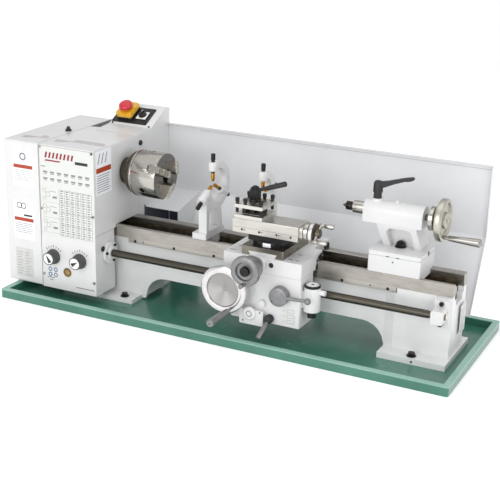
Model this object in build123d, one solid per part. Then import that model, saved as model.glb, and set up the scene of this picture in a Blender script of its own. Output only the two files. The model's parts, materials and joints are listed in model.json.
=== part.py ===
from build123d import *
import math
import os

os.makedirs("parts", exist_ok=True)

# Benchtop metal lathe, millimetres.  The dimensions below are written in the machine frame:
# X = 0 on the headstock's right face, +X towards the tailstock; Y = 0 on the spindle axis, +Y to
# the rear; Z = 0 on top of the bed ways.  SHIFT carries every part to the row frame, whose origin
# is the bottom centre of the whole machine.

# --- overall ------------------------------------------------------------------------------------
CENTRE_HEIGHT = 140.0
TRAY_X = (-272.0, 1010.0)
TRAY_Y = (-225.0, 238.0)
TRAY_Z = (-210.0, -186.0)
TRAY_RIM = 16.0
SHEET = 1.6
FOOT_Z = -207.0
COVER_X = (-290.0, -178.0)
HEAD_X = (-176.0, 0.0)
HEAD_TOP = 225.0
HEAD_BOTTOM = -180.0
HEAD_FRONT = -158.0
HEAD_REAR = 234.0
HANDLE_FRONT = -300.0
SHIFT = Pos(
    -(COVER_X[0] + TRAY_X[1]) / 2,
    -(HANDLE_FRONT + TRAY_Y[1]) / 2,
    -TRAY_Z[0],
)

# --- bed ----------------------------------------------------------------------------------------
BED_X = (-170.0, 957.0)
BED_HALF = 58.0
WAY_DEPTH = 32.0
WALL_HALF = 48.0
WALL = 10.0
BED_UNDER = -137.0
FOOT_FLANGE = 15.0
FOOT_HALF = 100.0
FOOT_BODY_HALF = 57.0
ARCH_R = 58.0
RIB_X = (-60.0, 60.0, 200.0, 340.0, 480.0, 620.0, 760.0)
LEFT_FOOT_X = (-150.0, 76.0)
RIGHT_FOOT_X = (788.0, 963.0)
RIGHT_BODY_X = (800.0, 957.0)
RACK_X = (41.0, 814.0)

# --- spindle and drive --------------------------------------------------------------------------
SPINDLE_BORE = 13.0
SPINDLE_R = 22.0
SPINDLE_X = (-262.0, 18.0)
NOSE_R = 37.0
CHUCK_R = 63.5
CHUCK_X = (44.0, 126.0)
JAW_OUT = 24.0
JAW_ANGLES = (-90.0, 30.0, 150.0)
MOTOR_Y, MOTOR_Z, MOTOR_R = 146.0, 30.0, 66.0
BELT_X = (-252.0, -228.0)
SPINDLE_PULLEY_R = 52.0
MOTOR_PULLEY_R = 26.0
GEAR_X = (-216.0, -204.0)
MODULE = 2.5
TEETH_SPINDLE, TEETH_IDLER, TEETH_SCREW = 20, 64, 40

# --- leadscrew ----------------------------------------------------------------------------------
SCREW_R = 9.5
SCREW_Y, SCREW_Z = -94.0, -70.0
SCREW_END = 912.0
RUN_FIT = 0.06

# --- carriage -----------------------------------------------------------------------------------
SADDLE_X = (384.0, 600.0)
SADDLE_FRONT = -153.0
SADDLE_TOP = 18.0
APRON_X = (407.0, 600.0)
APRON_Z = (-152.0, -22.5)
APRON_BACK = -74.0
CROSS_X, CROSS_Z = 484.0, 4.0
SLIDE_X = (432.0, 547.0)
SLIDE_TOP = 40.0
SWIVEL_X, SWIVEL_Y = 493.0, -88.0
COMPOUND_Y = (-139.0, -70.0)
COMPOUND_Z = (68.0, 106.0)
COMPOUND_AXIS_Z = 88.0
POST_X, POST_Y, POST_HALF = 444.0, -100.0, 39.0
POST_Z = (106.0, 142.0)
HANDWHEEL = (405.0, -71.0)
HALFNUT_AT = (548.0, -70.0)
FEED_AT = (520.0, -138.0)
DIAL_AT = (621.5, -127.0)

# --- rests --------------------------------------------------------------------------------------
STEADY_X = (258.0, 282.0)
FOLLOW_X = (404.0, 430.0)

# --- tailstock ----------------------------------------------------------------------------------
TAIL_BASE_X = (735.0, 870.0)
BARREL_X = (704.0, 857.0)
BARREL_R = 27.0
QUILL_R = 16.0
TAIL_SEAM, TAIL_PLATE = 43.0, 54.0
TIP_X = 640.0
LOCK_X = 731.0
OIL_CUP_X = 783.0


def box(x0, x1, y0, y1, z0, z1):
    return Pos((x0 + x1) / 2, (y0 + y1) / 2, (z0 + z1) / 2) * Box(x1 - x0, y1 - y0, z1 - z0)


def rod_x(r, x0, x1, y=0.0, z=CENTRE_HEIGHT):
    return Pos((x0 + x1) / 2, y, z) * Rot(0, 90, 0) * Cylinder(r, x1 - x0)


def rod_y(r, y0, y1, x, z):
    return Pos(x, (y0 + y1) / 2, z) * Rot(-90, 0, 0) * Cylinder(r, y1 - y0)


def rod_z(r, z0, z1, x, y):
    return Pos(x, y, (z0 + z1) / 2) * Cylinder(r, z1 - z0)


def prism_yz(points, x0, x1):
    face = Plane.YZ.offset(x0) * Polygon(*points, align=None)
    return extrude(face, amount=x1 - x0, dir=(1, 0, 0))


def prism_xz(points, y0, y1):
    face = Plane.XZ.offset(-y0) * Polygon(*points, align=None)
    return extrude(face, amount=y1 - y0, dir=(0, 1, 0))


def prism_xy(points, z0, z1):
    face = Plane.XY.offset(z0) * Polygon(*points, align=None)
    return extrude(face, amount=z1 - z0, dir=(0, 0, 1))


def rounded_z(x0, x1, y0, y1, z0, z1, r):
    face = Plane.XY.offset(z0) * Pos((x0 + x1) / 2, (y0 + y1) / 2) * RectangleRounded(x1 - x0, y1 - y0, r)
    return extrude(face, amount=z1 - z0, dir=(0, 0, 1))


def rounded_y(x0, x1, y0, y1, z0, z1, r):
    face = Plane.XZ.offset(-y0) * Pos((x0 + x1) / 2, (z0 + z1) / 2) * RectangleRounded(x1 - x0, z1 - z0, r)
    return extrude(face, amount=y1 - y0, dir=(0, 1, 0))


def rounded_x(x0, x1, y0, y1, z0, z1, r):
    face = Plane.YZ.offset(x0) * Pos((y0 + y1) / 2, (z0 + z1) / 2) * RectangleRounded(y1 - y0, z1 - z0, r)
    return extrude(face, amount=x1 - x0, dir=(1, 0, 0))


def turned_x(profile, y=0.0, z=CENTRE_HEIGHT):
    """A turned part: profile is (x, radius) pairs from one end of the axis to the other."""
    points = [(profile[0][0], 0.0)] + list(profile) + [(profile[-1][0], 0.0)]
    face = Plane.XZ * Polygon(*points, align=None)
    return Pos(0, y, z) * revolve(face, Axis.X)


def turned_y(profile, x, z):
    """A turned part about a Y axis: profile is (y, radius) pairs."""
    points = [(0.0, profile[0][0])] + [(r, v) for v, r in profile] + [(0.0, profile[-1][0])]
    face = Plane.XY * Polygon(*points, align=None)
    return Pos(x, 0, z) * revolve(face, Axis.Y)


def turned_z(profile, x, y):
    """A turned part about a Z axis: profile is (z, radius) pairs."""
    points = [(0.0, profile[0][0])] + [(r, v) for v, r in profile] + [(0.0, profile[-1][0])]
    face = Plane.XZ * Polygon(*points, align=None)
    return Pos(x, y, 0) * revolve(face, Axis.Z)


def between(p, q, r):
    """A round bar of radius r from point p to point q."""
    start, end = Vector(*p), Vector(*q)
    plane = Plane(origin=start, z_dir=end - start)
    return extrude(plane * Circle(r), amount=(end - start).length)


def cap_screw_right(x, y, z, r):
    """A socket screw head of radius r standing on a right-hand face at x, facing +X."""
    return rod_x(r, x, x + r, y, z) - rod_x(r * 0.5, x + r * 0.45, x + r, y, z)


def cap_screw_front(x, y, z, r):
    """A socket screw head of radius r standing on a front face at y, facing -Y."""
    return rod_y(r, y - r, y, x, z) - rod_y(r * 0.5, y - r, y - r * 0.45, x, z)


def involute_gear(teeth, x0, x1, y, z, phase_deg, bore):
    """A spur gear about an X axis; one tooth points along phase_deg in the YZ plane."""
    pitch = MODULE * teeth / 2
    base = pitch * math.cos(math.radians(20))
    outer, root = pitch + MODULE * 0.92, pitch - MODULE * 1.25
    half_tooth = math.pi / (2 * teeth) - 0.14 / pitch
    at_pitch = math.sqrt((pitch / base) ** 2 - 1)
    inv_pitch = at_pitch - math.atan(at_pitch)
    flank = []
    for k in range(5):
        radius = max(base, root) + (outer - max(base, root)) * k / 4
        roll = math.sqrt(max((radius / base) ** 2 - 1, 0.0))
        flank.append((radius, half_tooth + inv_pitch - (roll - math.atan(roll))))
    points = []
    for n in range(teeth):
        mid = math.radians(phase_deg) + 2 * math.pi * n / teeth
        lower = [(root, -flank[0][1])] + [(r, -a) for r, a in flank]
        upper = [(r, a) for r, a in reversed(flank)] + [(root, flank[0][1])]
        for r, a in lower + upper:
            points.append((y + r * math.cos(mid + a), z + r * math.sin(mid + a)))
    return prism_yz(points, x0, x1) - rod_x(bore, x0 - 1, x1 + 1, y, z)


parts = {}


def add(name, shape):
    parts[name] = shape


# ================================================================================= tray and guard
def chip_tray():
    x0, x1, y0, y1, z0, z1 = *TRAY_X, *TRAY_Y, *TRAY_Z
    rim, t = TRAY_RIM, SHEET
    tray = rounded_z(x0, x1, y0, y1, z0, z1, 6)
    basin = rounded_z(x0 + rim, x1 - rim, y0 + rim, y1 - rim, FOOT_Z, z1 + 1, 4)
    hem = rounded_z(x0 + t, x1 - t, y0 + t, y1 - t, z0 - 1, z1 - t, 5)
    core = rounded_z(x0 + rim - t, x1 - rim + t, y0 + rim - t, y1 - rim + t, z0 - 1, z1 + 1, 4)
    underside = rounded_z(x0 + rim + 8, x1 - rim - 8, y0 + rim + 8, y1 - rim - 8, z0 - 1, FOOT_Z - t, 4)
    return tray - basin - (hem - core) - underside


SPLASH_Y = 230.0
FOLD_Z = 40.0
LIP_Y, LIP_Z = 132.0, -148.0
HOOD_END, HOOD_Y = 104.0, 104.0


def backsplash():
    """One folded sheet: upright panel with a returned top edge, a chute that slopes in under the
    bed's rear, and a raised hood beside the headstock."""
    t = SHEET
    x0, x1 = HEAD_X[1], 955.0
    section = [
        (SPLASH_Y, FOLD_Z), (SPLASH_Y, 229), (SPLASH_Y - 10, 229), (SPLASH_Y - 10, 229 + t),
        (SPLASH_Y + t, 229 + t), (SPLASH_Y + t, FOLD_Z - 0.6), (LIP_Y + t, LIP_Z), (LIP_Y, LIP_Z),
    ]
    sheet = prism_yz(section, x0, x1)
    front = SPLASH_Y - 8
    end = prism_yz(
        [
            (SPLASH_Y, 226), (front, 226), (front, FOLD_Z),
            (LIP_Y - 4, LIP_Z), (LIP_Y, LIP_Z), (SPLASH_Y, FOLD_Z),
        ],
        x1 - t, x1,
    )
    sheet -= box(x0 - 1, HOOD_END, LIP_Y - 9, SPLASH_Y + 9, LIP_Z - 9, FOLD_Z - 4)
    hood = prism_yz([(SPLASH_Y, 40), (SPLASH_Y, 40 - t), (HOOD_Y, 10 - t), (HOOD_Y, 10)], x0, HOOD_END)
    cheek = prism_yz(
        [(SPLASH_Y, 39), (HOOD_Y, 9), (HOOD_Y, LIP_Z + 4), (LIP_Y + 2, LIP_Z + 4)],
        HOOD_END - t, HOOD_END,
    )
    sheet += end
    for x in (150, 480, 810):
        sheet += box(x, x + 32, SPLASH_Y, SPLASH_Y + t, TRAY_Z[1], FOLD_Z + 4)
    return sheet + hood + cheek


add("chip_tray", chip_tray())
add("backsplash", backsplash())


# ============================================================================================ bed
def way_section():
    """Front prism way, rear flat way and the two walls of the bed, as one YZ outline each."""
    front = [
        (-BED_HALF, -WAY_DEPTH), (-BED_HALF, -1.5), (-BED_HALF + 1.5, 0), (-BED_HALF + 11, 0),
        (-34, -11), (-28, -11), (-28, -24), (-WALL_HALF + WALL, -34), (-WALL_HALF + WALL, BED_UNDER),
        (-WALL_HALF, BED_UNDER), (-WALL_HALF, -WAY_DEPTH),
    ]
    rear = [
        (BED_HALF, -WAY_DEPTH), (BED_HALF, -1.5), (BED_HALF - 1.5, 0), (33, 0), (31.5, -1.5),
        (31.5, -18), (WALL_HALF - WALL, -34), (WALL_HALF - WALL, BED_UNDER),
        (WALL_HALF, BED_UNDER), (WALL_HALF, -WAY_DEPTH),
    ]
    return front, rear


def arch(x, side):
    """Points of the quarter arch that joins the bed's underside to a foot, from x towards side."""
    r = ARCH_R
    angles = (0.25, 0.55, 0.85, 1.15, 1.45)
    return [(x + side * r * math.sin(a), BED_UNDER - r + r * math.cos(a)) for a in angles]


def both_walls(outline):
    """An XZ outline cut from each wall of the bed."""
    inner = WALL_HALF - WALL
    return prism_xz(outline, -WALL_HALF, -inner) + prism_xz(outline, inner, WALL_HALF)


def bed():
    x0, x1 = BED_X
    floor = BED_UNDER + 8
    front, rear = way_section()
    casting = prism_yz(front, x0, x1) + prism_yz(rear, x0, x1)
    for x in (x0, *RIB_X, x1 - WALL):
        casting += box(x, x + WALL, -WALL_HALF + 2, WALL_HALF - 2, BED_UNDER, -46)
    casting += box(x0, x1, -WALL_HALF + 1, WALL_HALF - 1, BED_UNDER, floor)
    # left foot below the headstock, with an arched web on its right
    lx0, lx1 = LEFT_FOOT_X
    casting += box(lx0, 30, -WALL_HALF, WALL_HALF, FOOT_Z, floor)
    web = [(28, floor), (150, floor), (150, BED_UNDER), *arch(150, -1), (88, FOOT_Z + 4), (28, FOOT_Z + 4)]
    casting += both_walls(web)
    casting += box(lx0, lx1, -FOOT_HALF, FOOT_HALF, FOOT_Z, FOOT_Z + FOOT_FLANGE - 3)
    casting -= box(lx0 + 14, 18, -WALL_HALF + 12, WALL_HALF - 12, FOOT_Z - 1, BED_UNDER - 6)
    # right pedestal: hollow box on a wide flange, open between the ways at the end
    rx0, rx1 = RIGHT_BODY_X
    knee, half = rx0 - 72, FOOT_BODY_HALF
    leg = [(rx0 + 8, floor), (knee, floor), (knee, BED_UNDER), *arch(knee, 1)]
    leg += [(rx0 - 10, FOOT_Z + 10), (rx0 + 8, FOOT_Z + 10)]
    casting += both_walls(leg)
    plan = [(rx0 - 14, WALL_HALF), (rx0 + 12, half), (rx1, half)]
    plan += [(x, -y) for x, y in reversed(plan)]
    casting += prism_xy(plan, FOOT_Z, -46)
    cheeks = box(RACK_X[1] + 2, rx1, -half, half, -47, -WAY_DEPTH + 1)
    casting += cheeks - box(rx0, rx1 + 1, -WALL_HALF + 2, WALL_HALF - 2, -48, 0)
    casting += box(*RIGHT_FOOT_X, -FOOT_HALF, FOOT_HALF, FOOT_Z, FOOT_Z + FOOT_FLANGE)
    casting -= box(rx0 + 12, rx1 - 14, -half + 16, half - 16, FOOT_Z - 1, -60)
    casting -= box(rx1 - 20, rx1 + 1, -26, 28, -62, 1)
    # pad that carries the leadscrew bracket
    casting += box(916, 954, BRACKET_BACK, -WALL_HALF + 1, -107, -34)
    for x, y in FOOT_BOLTS:
        casting -= rod_z(5.5, FOOT_Z - 1, FOOT_Z + FOOT_FLANGE + 1, x, y)
    for x in RACK_SCREWS:
        casting -= rod_y(3.05, -WALL_HALF - 1, -WALL_HALF + 9, x, -39)
    return casting


BRACKET_BACK = -66.0
FOOT_BOLTS = [(42.0, -82.0), (42.0, 82.0), (872.0, -82.0), (872.0, 82.0)]
RACK_SCREWS = [RACK_X[0] + 22 + k * (RACK_X[1] - RACK_X[0] - 44) / 6 for k in range(7)]

add("bed", bed())


def gear_rack():
    x0, x1 = RACK_X
    rack = box(x0, x1, -BED_HALF, -WALL_HALF, -45, -WAY_DEPTH)
    pitch = math.pi * 1.75
    count = int((x1 - x0) / pitch)
    tooth_space = [(-1.9, -46), (-0.7, -42.4), (0.7, -42.4), (1.9, -46)]
    notch = Plane.XZ.offset(BED_HALF + 1) * Polygon(*tooth_space, align=None)
    slots = extrude(notch, amount=BED_HALF - WALL_HALF + 2, dir=(0, 1, 0))
    cuts = [Pos(x0 + pitch * (k + 0.5), 0, 0) * slots for k in range(count)]
    rack -= cuts
    for x in RACK_SCREWS:
        rack -= rod_y(3.1, -BED_HALF - 1, -WALL_HALF + 1, x, -39)
        rack -= rod_y(4.2, -BED_HALF - 1, -BED_HALF + 3.5, x, -39)
    return rack


add("gear_rack", gear_rack())

# ====================================================================================== leadscrew
flange = rod_x(31, 0, 9, SCREW_Y, SCREW_Z) + rod_x(18, 8, 14, SCREW_Y, SCREW_Z)
flange -= rod_x(SCREW_R + RUN_FIT, -1, 15, SCREW_Y, SCREW_Z)
FLANGE_SCREWS = [
    (SCREW_Y + 24 * math.cos(math.radians(a)), SCREW_Z + 24 * math.sin(math.radians(a)))
    for a in (50, 170, 290)
]
add("leadscrew_flange", flange)

BRACKET_BOLTS = [(936.0, -44.5), (936.0, -97.5)]
bracket = rounded_y(918, 953, BRACKET_BACK - 9, BRACKET_BACK, -106, -36, 5)
bracket += rounded_y(920, 951, -110, BRACKET_BACK - 8, -87, -53, 6)
bracket -= rod_x(8.0 + RUN_FIT, 900, 960, SCREW_Y, SCREW_Z)
add("leadscrew_bracket", bracket)


# =================================================================================== headstock
def idler_centre():
    """The point at the idler's mesh distances from the spindle and the leadscrew."""
    a, b = Vector(0, CENTRE_HEIGHT), Vector(SCREW_Y, SCREW_Z)
    ra = MODULE * (TEETH_SPINDLE + TEETH_IDLER) / 2
    rb = MODULE * (TEETH_SCREW + TEETH_IDLER) / 2
    d = (b - a).length
    along = (ra**2 - rb**2 + d**2) / (2 * d)
    side = math.sqrt(ra**2 - along**2)
    u = (b - a).normalized()
    return a + u * along + Vector(u.Y, -u.X) * side


IDLER = idler_centre()
BEARING_X = ((-172.0, -150.0), (-26.0, -4.0))
BEARING_R = 36.0


def headstock_casting():
    x0, x1 = HEAD_X
    y0, y1 = HEAD_FRONT + 8, 62.0
    shell = box(x0, x1, y0, y1, -8.5, HEAD_TOP) - box(x0 + 12, x1 - 12, y0 - 1, y1 - 10, 6, HEAD_TOP - 8)
    for b0, b1 in ((x0, -142.0), (-34.0, x1)):
        shell += rod_x(50, b0, b1)
        shell += box(b0, b1, -38, 38, 0, CENTRE_HEIGHT)
    shell -= rod_x(BEARING_R, -172, -150) + rod_x(BEARING_R, -26, -4)
    shell -= rod_x(NOSE_R - 9, x0 - 1, x1 + 1)
    # the casting straddles the ways
    shell -= box(x0 - 1, x1 + 1, -BED_HALF, BED_HALF, -9, 0)
    # stud of the change-gear idler
    shell += rod_x(10, GEAR_X[0] - 8, x0 + 1, IDLER.X, IDLER.Y)
    shell -= rod_x(5.5, x0 - 1, x0 + 13, MOTOR_Y, MOTOR_Z)
    return shell


def gearbox_housing():
    x0, x1 = HEAD_X
    y0, y1 = HEAD_FRONT + 8, -66.0
    shell = box(x0, x1, y0, y1, HEAD_BOTTOM, -9)
    shell -= box(x0 + 10, x1 - 10, y0 - 1, y1 - 8, HEAD_BOTTOM + 10, -17)
    shell += rod_x(20, x0, x0 + 24, SCREW_Y, SCREW_Z) + rod_x(20, x1 - 24, x1, SCREW_Y, SCREW_Z)
    shell -= rod_x(SCREW_R + RUN_FIT, x0 - 1, x1 + 1, SCREW_Y, SCREW_Z)
    return shell


PANEL_SCREWS = [(x, z) for x in (HEAD_X[0] + 5, HEAD_X[1] - 6) for z in (218.0, 46.0, -142.0)]
KNOBS = {"gear_selector_left": (-137.0, -87.0), "gear_selector_right": (-51.0, -86.0)}
SIGHT = (-93.0, -126.0)


def front_panel():
    x0, x1 = HEAD_X
    panel = rounded_y(x0, x1, HEAD_FRONT, HEAD_FRONT + 8, HEAD_BOTTOM, HEAD_TOP, 2)
    for x, z in KNOBS.values():
        panel -= rod_y(6.0 + RUN_FIT, HEAD_FRONT - 1, HEAD_FRONT + 9, x, z)
    panel -= rod_y(10.0, HEAD_FRONT - 1, HEAD_FRONT + 9, *SIGHT)
    return panel


def rear_cover():
    """Sheet housing behind the headstock over the motor, open below and louvred at the rear."""
    x0, x1 = HEAD_X
    y0, y1 = 62.0, HEAD_REAR
    cover = rounded_z(x0, x1, y0, y1, -110, HEAD_TOP, 2)
    cover -= box(x0 + SHEET, x1 - SHEET, y0 - 3, y1 - SHEET, -111, HEAD_TOP - SHEET)
    for k in range(7):
        z = 20 + k * 14
        cover -= box(-140, -36, y1 - 3, y1 + 1, z, z + 5)
    cover -= rod_x(14, x0 - 1, x0 + 3, MOTOR_Y, MOTOR_Z)
    cover -= rod_x(9, x0 - 1, x0 + 3, MOTOR_Y - 30, MOTOR_Z + 120)
    return cover


PANEL_TILT = math.degrees(math.atan2(44, 81))


def control_box():
    """Wedge-shaped switch housing on the headstock's rear top."""
    outline = [(62, HEAD_TOP), (62, 227), (130, 232), (211, 276), (HEAD_REAR, 274), (HEAD_REAR, HEAD_TOP)]
    inner = [(70, HEAD_TOP - 1), (70, 226), (130, 229.5), (211, 273.5)]
    inner += [(HEAD_REAR - 3, 271.5), (HEAD_REAR - 3, HEAD_TOP - 1)]
    shell = prism_yz(outline, -139, 0) - prism_yz(inner, -136, -3)
    return shell


def on_slope(x, along, out):
    """A point on the sloping switch face: along up the slope from its foot, out along the normal."""
    t = math.radians(PANEL_TILT)
    return (x, 130 + along * math.cos(t) - out * math.sin(t), 232 + along * math.sin(t) + out * math.cos(t))


def slope_plane(x, along, out=0.0):
    t = math.radians(PANEL_TILT)
    return Plane(origin=on_slope(x, along, out), x_dir=(1, 0, 0), z_dir=(0, -math.sin(t), math.cos(t)))


SWITCH_X, STOP_X, SELECT_X = -79.0, -97.0, -49.0
PLATE_ALONG = 44.0
plate = extrude(slope_plane(SWITCH_X, PLATE_ALONG) * RectangleRounded(114, 70, 3), amount=2.0)
FLAP_BASE = (50.0, 56.0)
base = extrude(slope_plane(STOP_X, PLATE_ALONG + 2, 2.0) * RectangleRounded(*FLAP_BASE, 4), amount=9)
base -= extrude(slope_plane(STOP_X, PLATE_ALONG + 2, 4.0) * RectangleRounded(42, 48, 3), amount=9)
base += extrude(slope_plane(STOP_X - 9, PLATE_ALONG, 3.9) * RectangleRounded(14, 20, 2), amount=4)
base += extrude(slope_plane(STOP_X + 9, PLATE_ALONG, 3.9) * RectangleRounded(14, 20, 2), amount=4)
bezel = extrude(slope_plane(SELECT_X, PLATE_ALONG, 2.0) * RectangleRounded(32, 32, 3), amount=2.2)
add("switch_plate", plate + base + bezel)

flap = extrude(slope_plane(STOP_X, PLATE_ALONG + 2, 11.4) * RectangleRounded(*FLAP_BASE, 5), amount=12)
flap -= extrude(slope_plane(STOP_X, PLATE_ALONG + 2, 11.0) * RectangleRounded(44, 50, 3), amount=9.5)
flap -= extrude(slope_plane(STOP_X, PLATE_ALONG, 18.0) * Circle(9.0 + RUN_FIT), amount=10)
add("stop_flap", flap)
stop = extrude(slope_plane(STOP_X, PLATE_ALONG, 17.0) * Circle(9.0), amount=14)
stop += extrude(slope_plane(STOP_X, PLATE_ALONG, 31.0) * Circle(20.0), amount=7)
stop += extrude(slope_plane(STOP_X, PLATE_ALONG, 38.0) * Circle(20.0), amount=7, taper=35)
stop += extrude(slope_plane(STOP_X, PLATE_ALONG, 15.0) * Circle(12.0), amount=2.2)
add("stop_button", stop)
knob = extrude(slope_plane(SELECT_X, PLATE_ALONG, 4.5) * Circle(11.0), amount=10)
knob += extrude(slope_plane(SELECT_X, PLATE_ALONG, 14.4) * Rectangle(5, 21), amount=5)
add("direction_switch", knob)

add("headstock_casting", headstock_casting())
add("gearbox_housing", gearbox_housing())
add("front_panel", front_panel())
add("rear_cover", rear_cover())
add("control_box", control_box())

y = HEAD_FRONT
glass = turned_y([(y - 4, 8.0), (y - 3, 10.5), (y, 10.5), (y, 9.9), (y + 7, 9.9)], *SIGHT)
add("sight_glass", glass)

for name, (x, z) in KNOBS.items():
    skirt = [(y - 8, 18.5), (y - 7, 21.0), (y - 0.5, 21.0), (y - 0.5, 6.0), (y + 12, 6.0)]
    body = turned_y([(y - 28, 17.0), (y - 27, 18.0), *skirt], x, z)
    body -= turned_y([(y - 29, 15.5), (y - 26.8, 15.5)], x, z)
    for k in range(18):
        a = math.radians(20 * k)
        body -= rod_y(1.2, y - 28.5, y - 8.2, x + 19.0 * math.cos(a), z + 19.0 * math.sin(a))
    add(name, body)

# ============================================================================ end cover and knob
COVER_HINGE = (COVER_X[1] - 4.5, 207.0)
THUMB_AT = (-195.0, 8.0)
cover = rounded_x(COVER_X[0], COVER_X[1], HEAD_FRONT, 205, HEAD_BOTTOM, HEAD_TOP, 6)
cover -= rounded_x(COVER_X[0] + 4, COVER_X[1] + 1, HEAD_FRONT + 4, 201, HEAD_BOTTOM + 4, HEAD_TOP - 4, 4)
cover -= rod_x(21, COVER_X[0] - 1, COVER_X[0] + 5)
cover += box(COVER_X[0] + 3, COVER_X[1] - 16, -4, 20, HEAD_TOP - 16, HEAD_TOP - 3)
cover -= rod_z(4.0 + RUN_FIT, HEAD_TOP - 18, HEAD_TOP + 1, *THUMB_AT)
cover += rod_z(4.5, -150, 200, *COVER_HINGE)
add("end_cover", cover)
top = HEAD_TOP
thumb = turned_z([(top + 0.5, 11), (top + 1.5, 12), (top + 14, 12), (top + 16, 10)], *THUMB_AT)
thumb += rod_z(4.0, top - 22, top + 1, *THUMB_AT)
for k in range(12):
    a = math.radians(30 * k)
    flute = (THUMB_AT[0] + 12.4 * math.cos(a), THUMB_AT[1] + 12.4 * math.sin(a))
    thumb -= rod_z(1.5, top + 1.5, top + 17, *flute)
add("cover_knob", thumb)

# ====================================================================================== drive
spindle = turned_x([
    (SPINDLE_X[0], 15), (-204, 15), (-204, 18), (-178, 18), (-178, 20), (-172, SPINDLE_R), (-150, SPINDLE_R),
    (-150, 25.5), (-26, 25.5), (-26, SPINDLE_R + 2), (-3.5, SPINDLE_R + 2), (-3.5, 26), (2, 26),
    (2, NOSE_R), (17, NOSE_R), (18, NOSE_R - 1), (18, 26), (26, 24),
])
spindle -= rod_x(SPINDLE_BORE, -263, 30)
for k in range(3):
    a = math.radians(120 * k + 30)
    spindle -= rod_x(4.0, 10, 19, 31 * math.cos(a), CENTRE_HEIGHT + 31 * math.sin(a))
add("spindle", spindle)

ROLLERS = 14
bearings = Part()
for (b0, b1), inner in zip(BEARING_X, (SPINDLE_R, SPINDLE_R + 2)):
    outer_race, inner_race = BEARING_R - 3.5, inner + 4
    bearings += rod_x(BEARING_R, b0, b1) - rod_x(outer_race, b0 - 1, b1 + 1)
    bearings += rod_x(inner_race, b0, b1) - rod_x(inner + RUN_FIT, b0 - 1, b1 + 1)
    middle_r, roller_r = (outer_race + inner_race) / 2, (outer_race - inner_race) / 2 + 0.4
    for k in range(ROLLERS):
        a = 2 * math.pi * k / ROLLERS
        at_roller = (middle_r * math.cos(a), CENTRE_HEIGHT + middle_r * math.sin(a))
        bearings += rod_x(roller_r, b0 + 3, b1 - 3, *at_roller)
add("spindle_bearings", bearings)


def vee_pulley(r, x0, x1, y, z, bore):
    groove = 6.0
    mid = (x0 + x1) / 2
    profile = [(x0, r - 2), (x0 + 2, r)]
    for c in (mid - 5.5, mid + 5.5):
        profile += [(c - 4.5, r), (c - 2, r - groove), (c + 2, r - groove), (c + 4.5, r)]
    profile += [(x1 - 2, r), (x1, r - 2)]
    return turned_x(profile, y, z) - rod_x(bore, x0 - 1, x1 + 1, y, z)


pulley = vee_pulley(SPINDLE_PULLEY_R, *BELT_X, 0, CENTRE_HEIGHT, 15.0)
angle_idler = math.degrees(math.atan2(IDLER.Y - CENTRE_HEIGHT, IDLER.X))
gear = involute_gear(TEETH_SPINDLE, *GEAR_X, 0, CENTRE_HEIGHT, angle_idler, 15.0)
spacer = rod_x(19, BELT_X[1], GEAR_X[0]) - rod_x(15.0, BELT_X[1] - 1, GEAR_X[0] + 1)
add("spindle_pulley", pulley + spacer + gear)

idler_phase = angle_idler + 180 + 180 / TEETH_IDLER
idler = involute_gear(TEETH_IDLER, *GEAR_X, IDLER.X, IDLER.Y, idler_phase, 10 + RUN_FIT)
for k in range(5):
    a = math.radians(72 * k)
    idler -= rod_x(17, GEAR_X[0] - 1, GEAR_X[1] + 1, IDLER.X + 46 * math.cos(a), IDLER.Y + 46 * math.sin(a))
add("idler_gear", idler)

motor = rod_x(MOTOR_R, -150, -30, MOTOR_Y, MOTOR_Z) + rod_x(MOTOR_R - 8, -162, -18, MOTOR_Y, MOTOR_Z)
motor += box(-120, -60, MOTOR_Y - 34, MOTOR_Y + 30, MOTOR_Z + MOTOR_R - 6, MOTOR_Z + MOTOR_R + 20)
motor += box(-150, -30, BED_HALF, MOTOR_Y, MOTOR_Z - 62, MOTOR_Z - 48)
motor -= rod_x(8.0 + RUN_FIT, -163, -100, MOTOR_Y, MOTOR_Z)
add("motor", motor)
motor_shaft = rod_x(8.0, BELT_X[0], -110, MOTOR_Y, MOTOR_Z)
add("motor_pulley", motor_shaft + vee_pulley(MOTOR_PULLEY_R, *BELT_X, MOTOR_Y, MOTOR_Z, 7.9))


def belt_loop(x, width, gap, depth):
    """A closed V belt round the two pulleys, standing gap clear of their grooves."""
    big, small = SPINDLE_PULLEY_R - 5.0 + gap, MOTOR_PULLEY_R - 5.0 + gap
    a, b = (0.0, CENTRE_HEIGHT), (MOTOR_Y, MOTOR_Z)
    d = math.hypot(b[0] - a[0], b[1] - a[1])

    def outline(grow):
        hull = make_hull((Pos(*a) * Circle(big + grow)).edges() + (Pos(*b) * Circle(small + grow)).edges())
        return hull

    ring = Plane.YZ.offset(x - width / 2) * (outline(depth) - outline(0))
    return extrude(ring, amount=width, dir=(1, 0, 0))


middle = sum(BELT_X) / 2
add("drive_belt", belt_loop(middle - 5.5, 3.6, 0.3, 5.0) + belt_loop(middle + 5.5, 3.6, 0.3, 5.0))

leadscrew = turned_x([
    (-224, 8), (HEAD_X[0] - 4, 8), (HEAD_X[0] - 4, SCREW_R), (SCREW_END, SCREW_R),
    (SCREW_END, 8), (951, 8), (953, 6.5),
], SCREW_Y, SCREW_Z)
leadscrew -= box(16, 900, SCREW_Y - 2.4, SCREW_Y + 2.4, SCREW_Z + SCREW_R - 2.4, SCREW_Z + SCREW_R + 1)
angle_screw = math.degrees(math.atan2(SCREW_Z - IDLER.Y, SCREW_Y - IDLER.X))
steps = (angle_screw - idler_phase) / (360 / TEETH_IDLER)
offset = (steps - round(steps)) * TEETH_IDLER / TEETH_SCREW * (360 / TEETH_IDLER)
screw_phase = angle_screw + 180 + offset + 180 / TEETH_SCREW
screw_gear = involute_gear(TEETH_SCREW, *GEAR_X, SCREW_Y, SCREW_Z, screw_phase, 8.0)
add("leadscrew", leadscrew + screw_gear)

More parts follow.
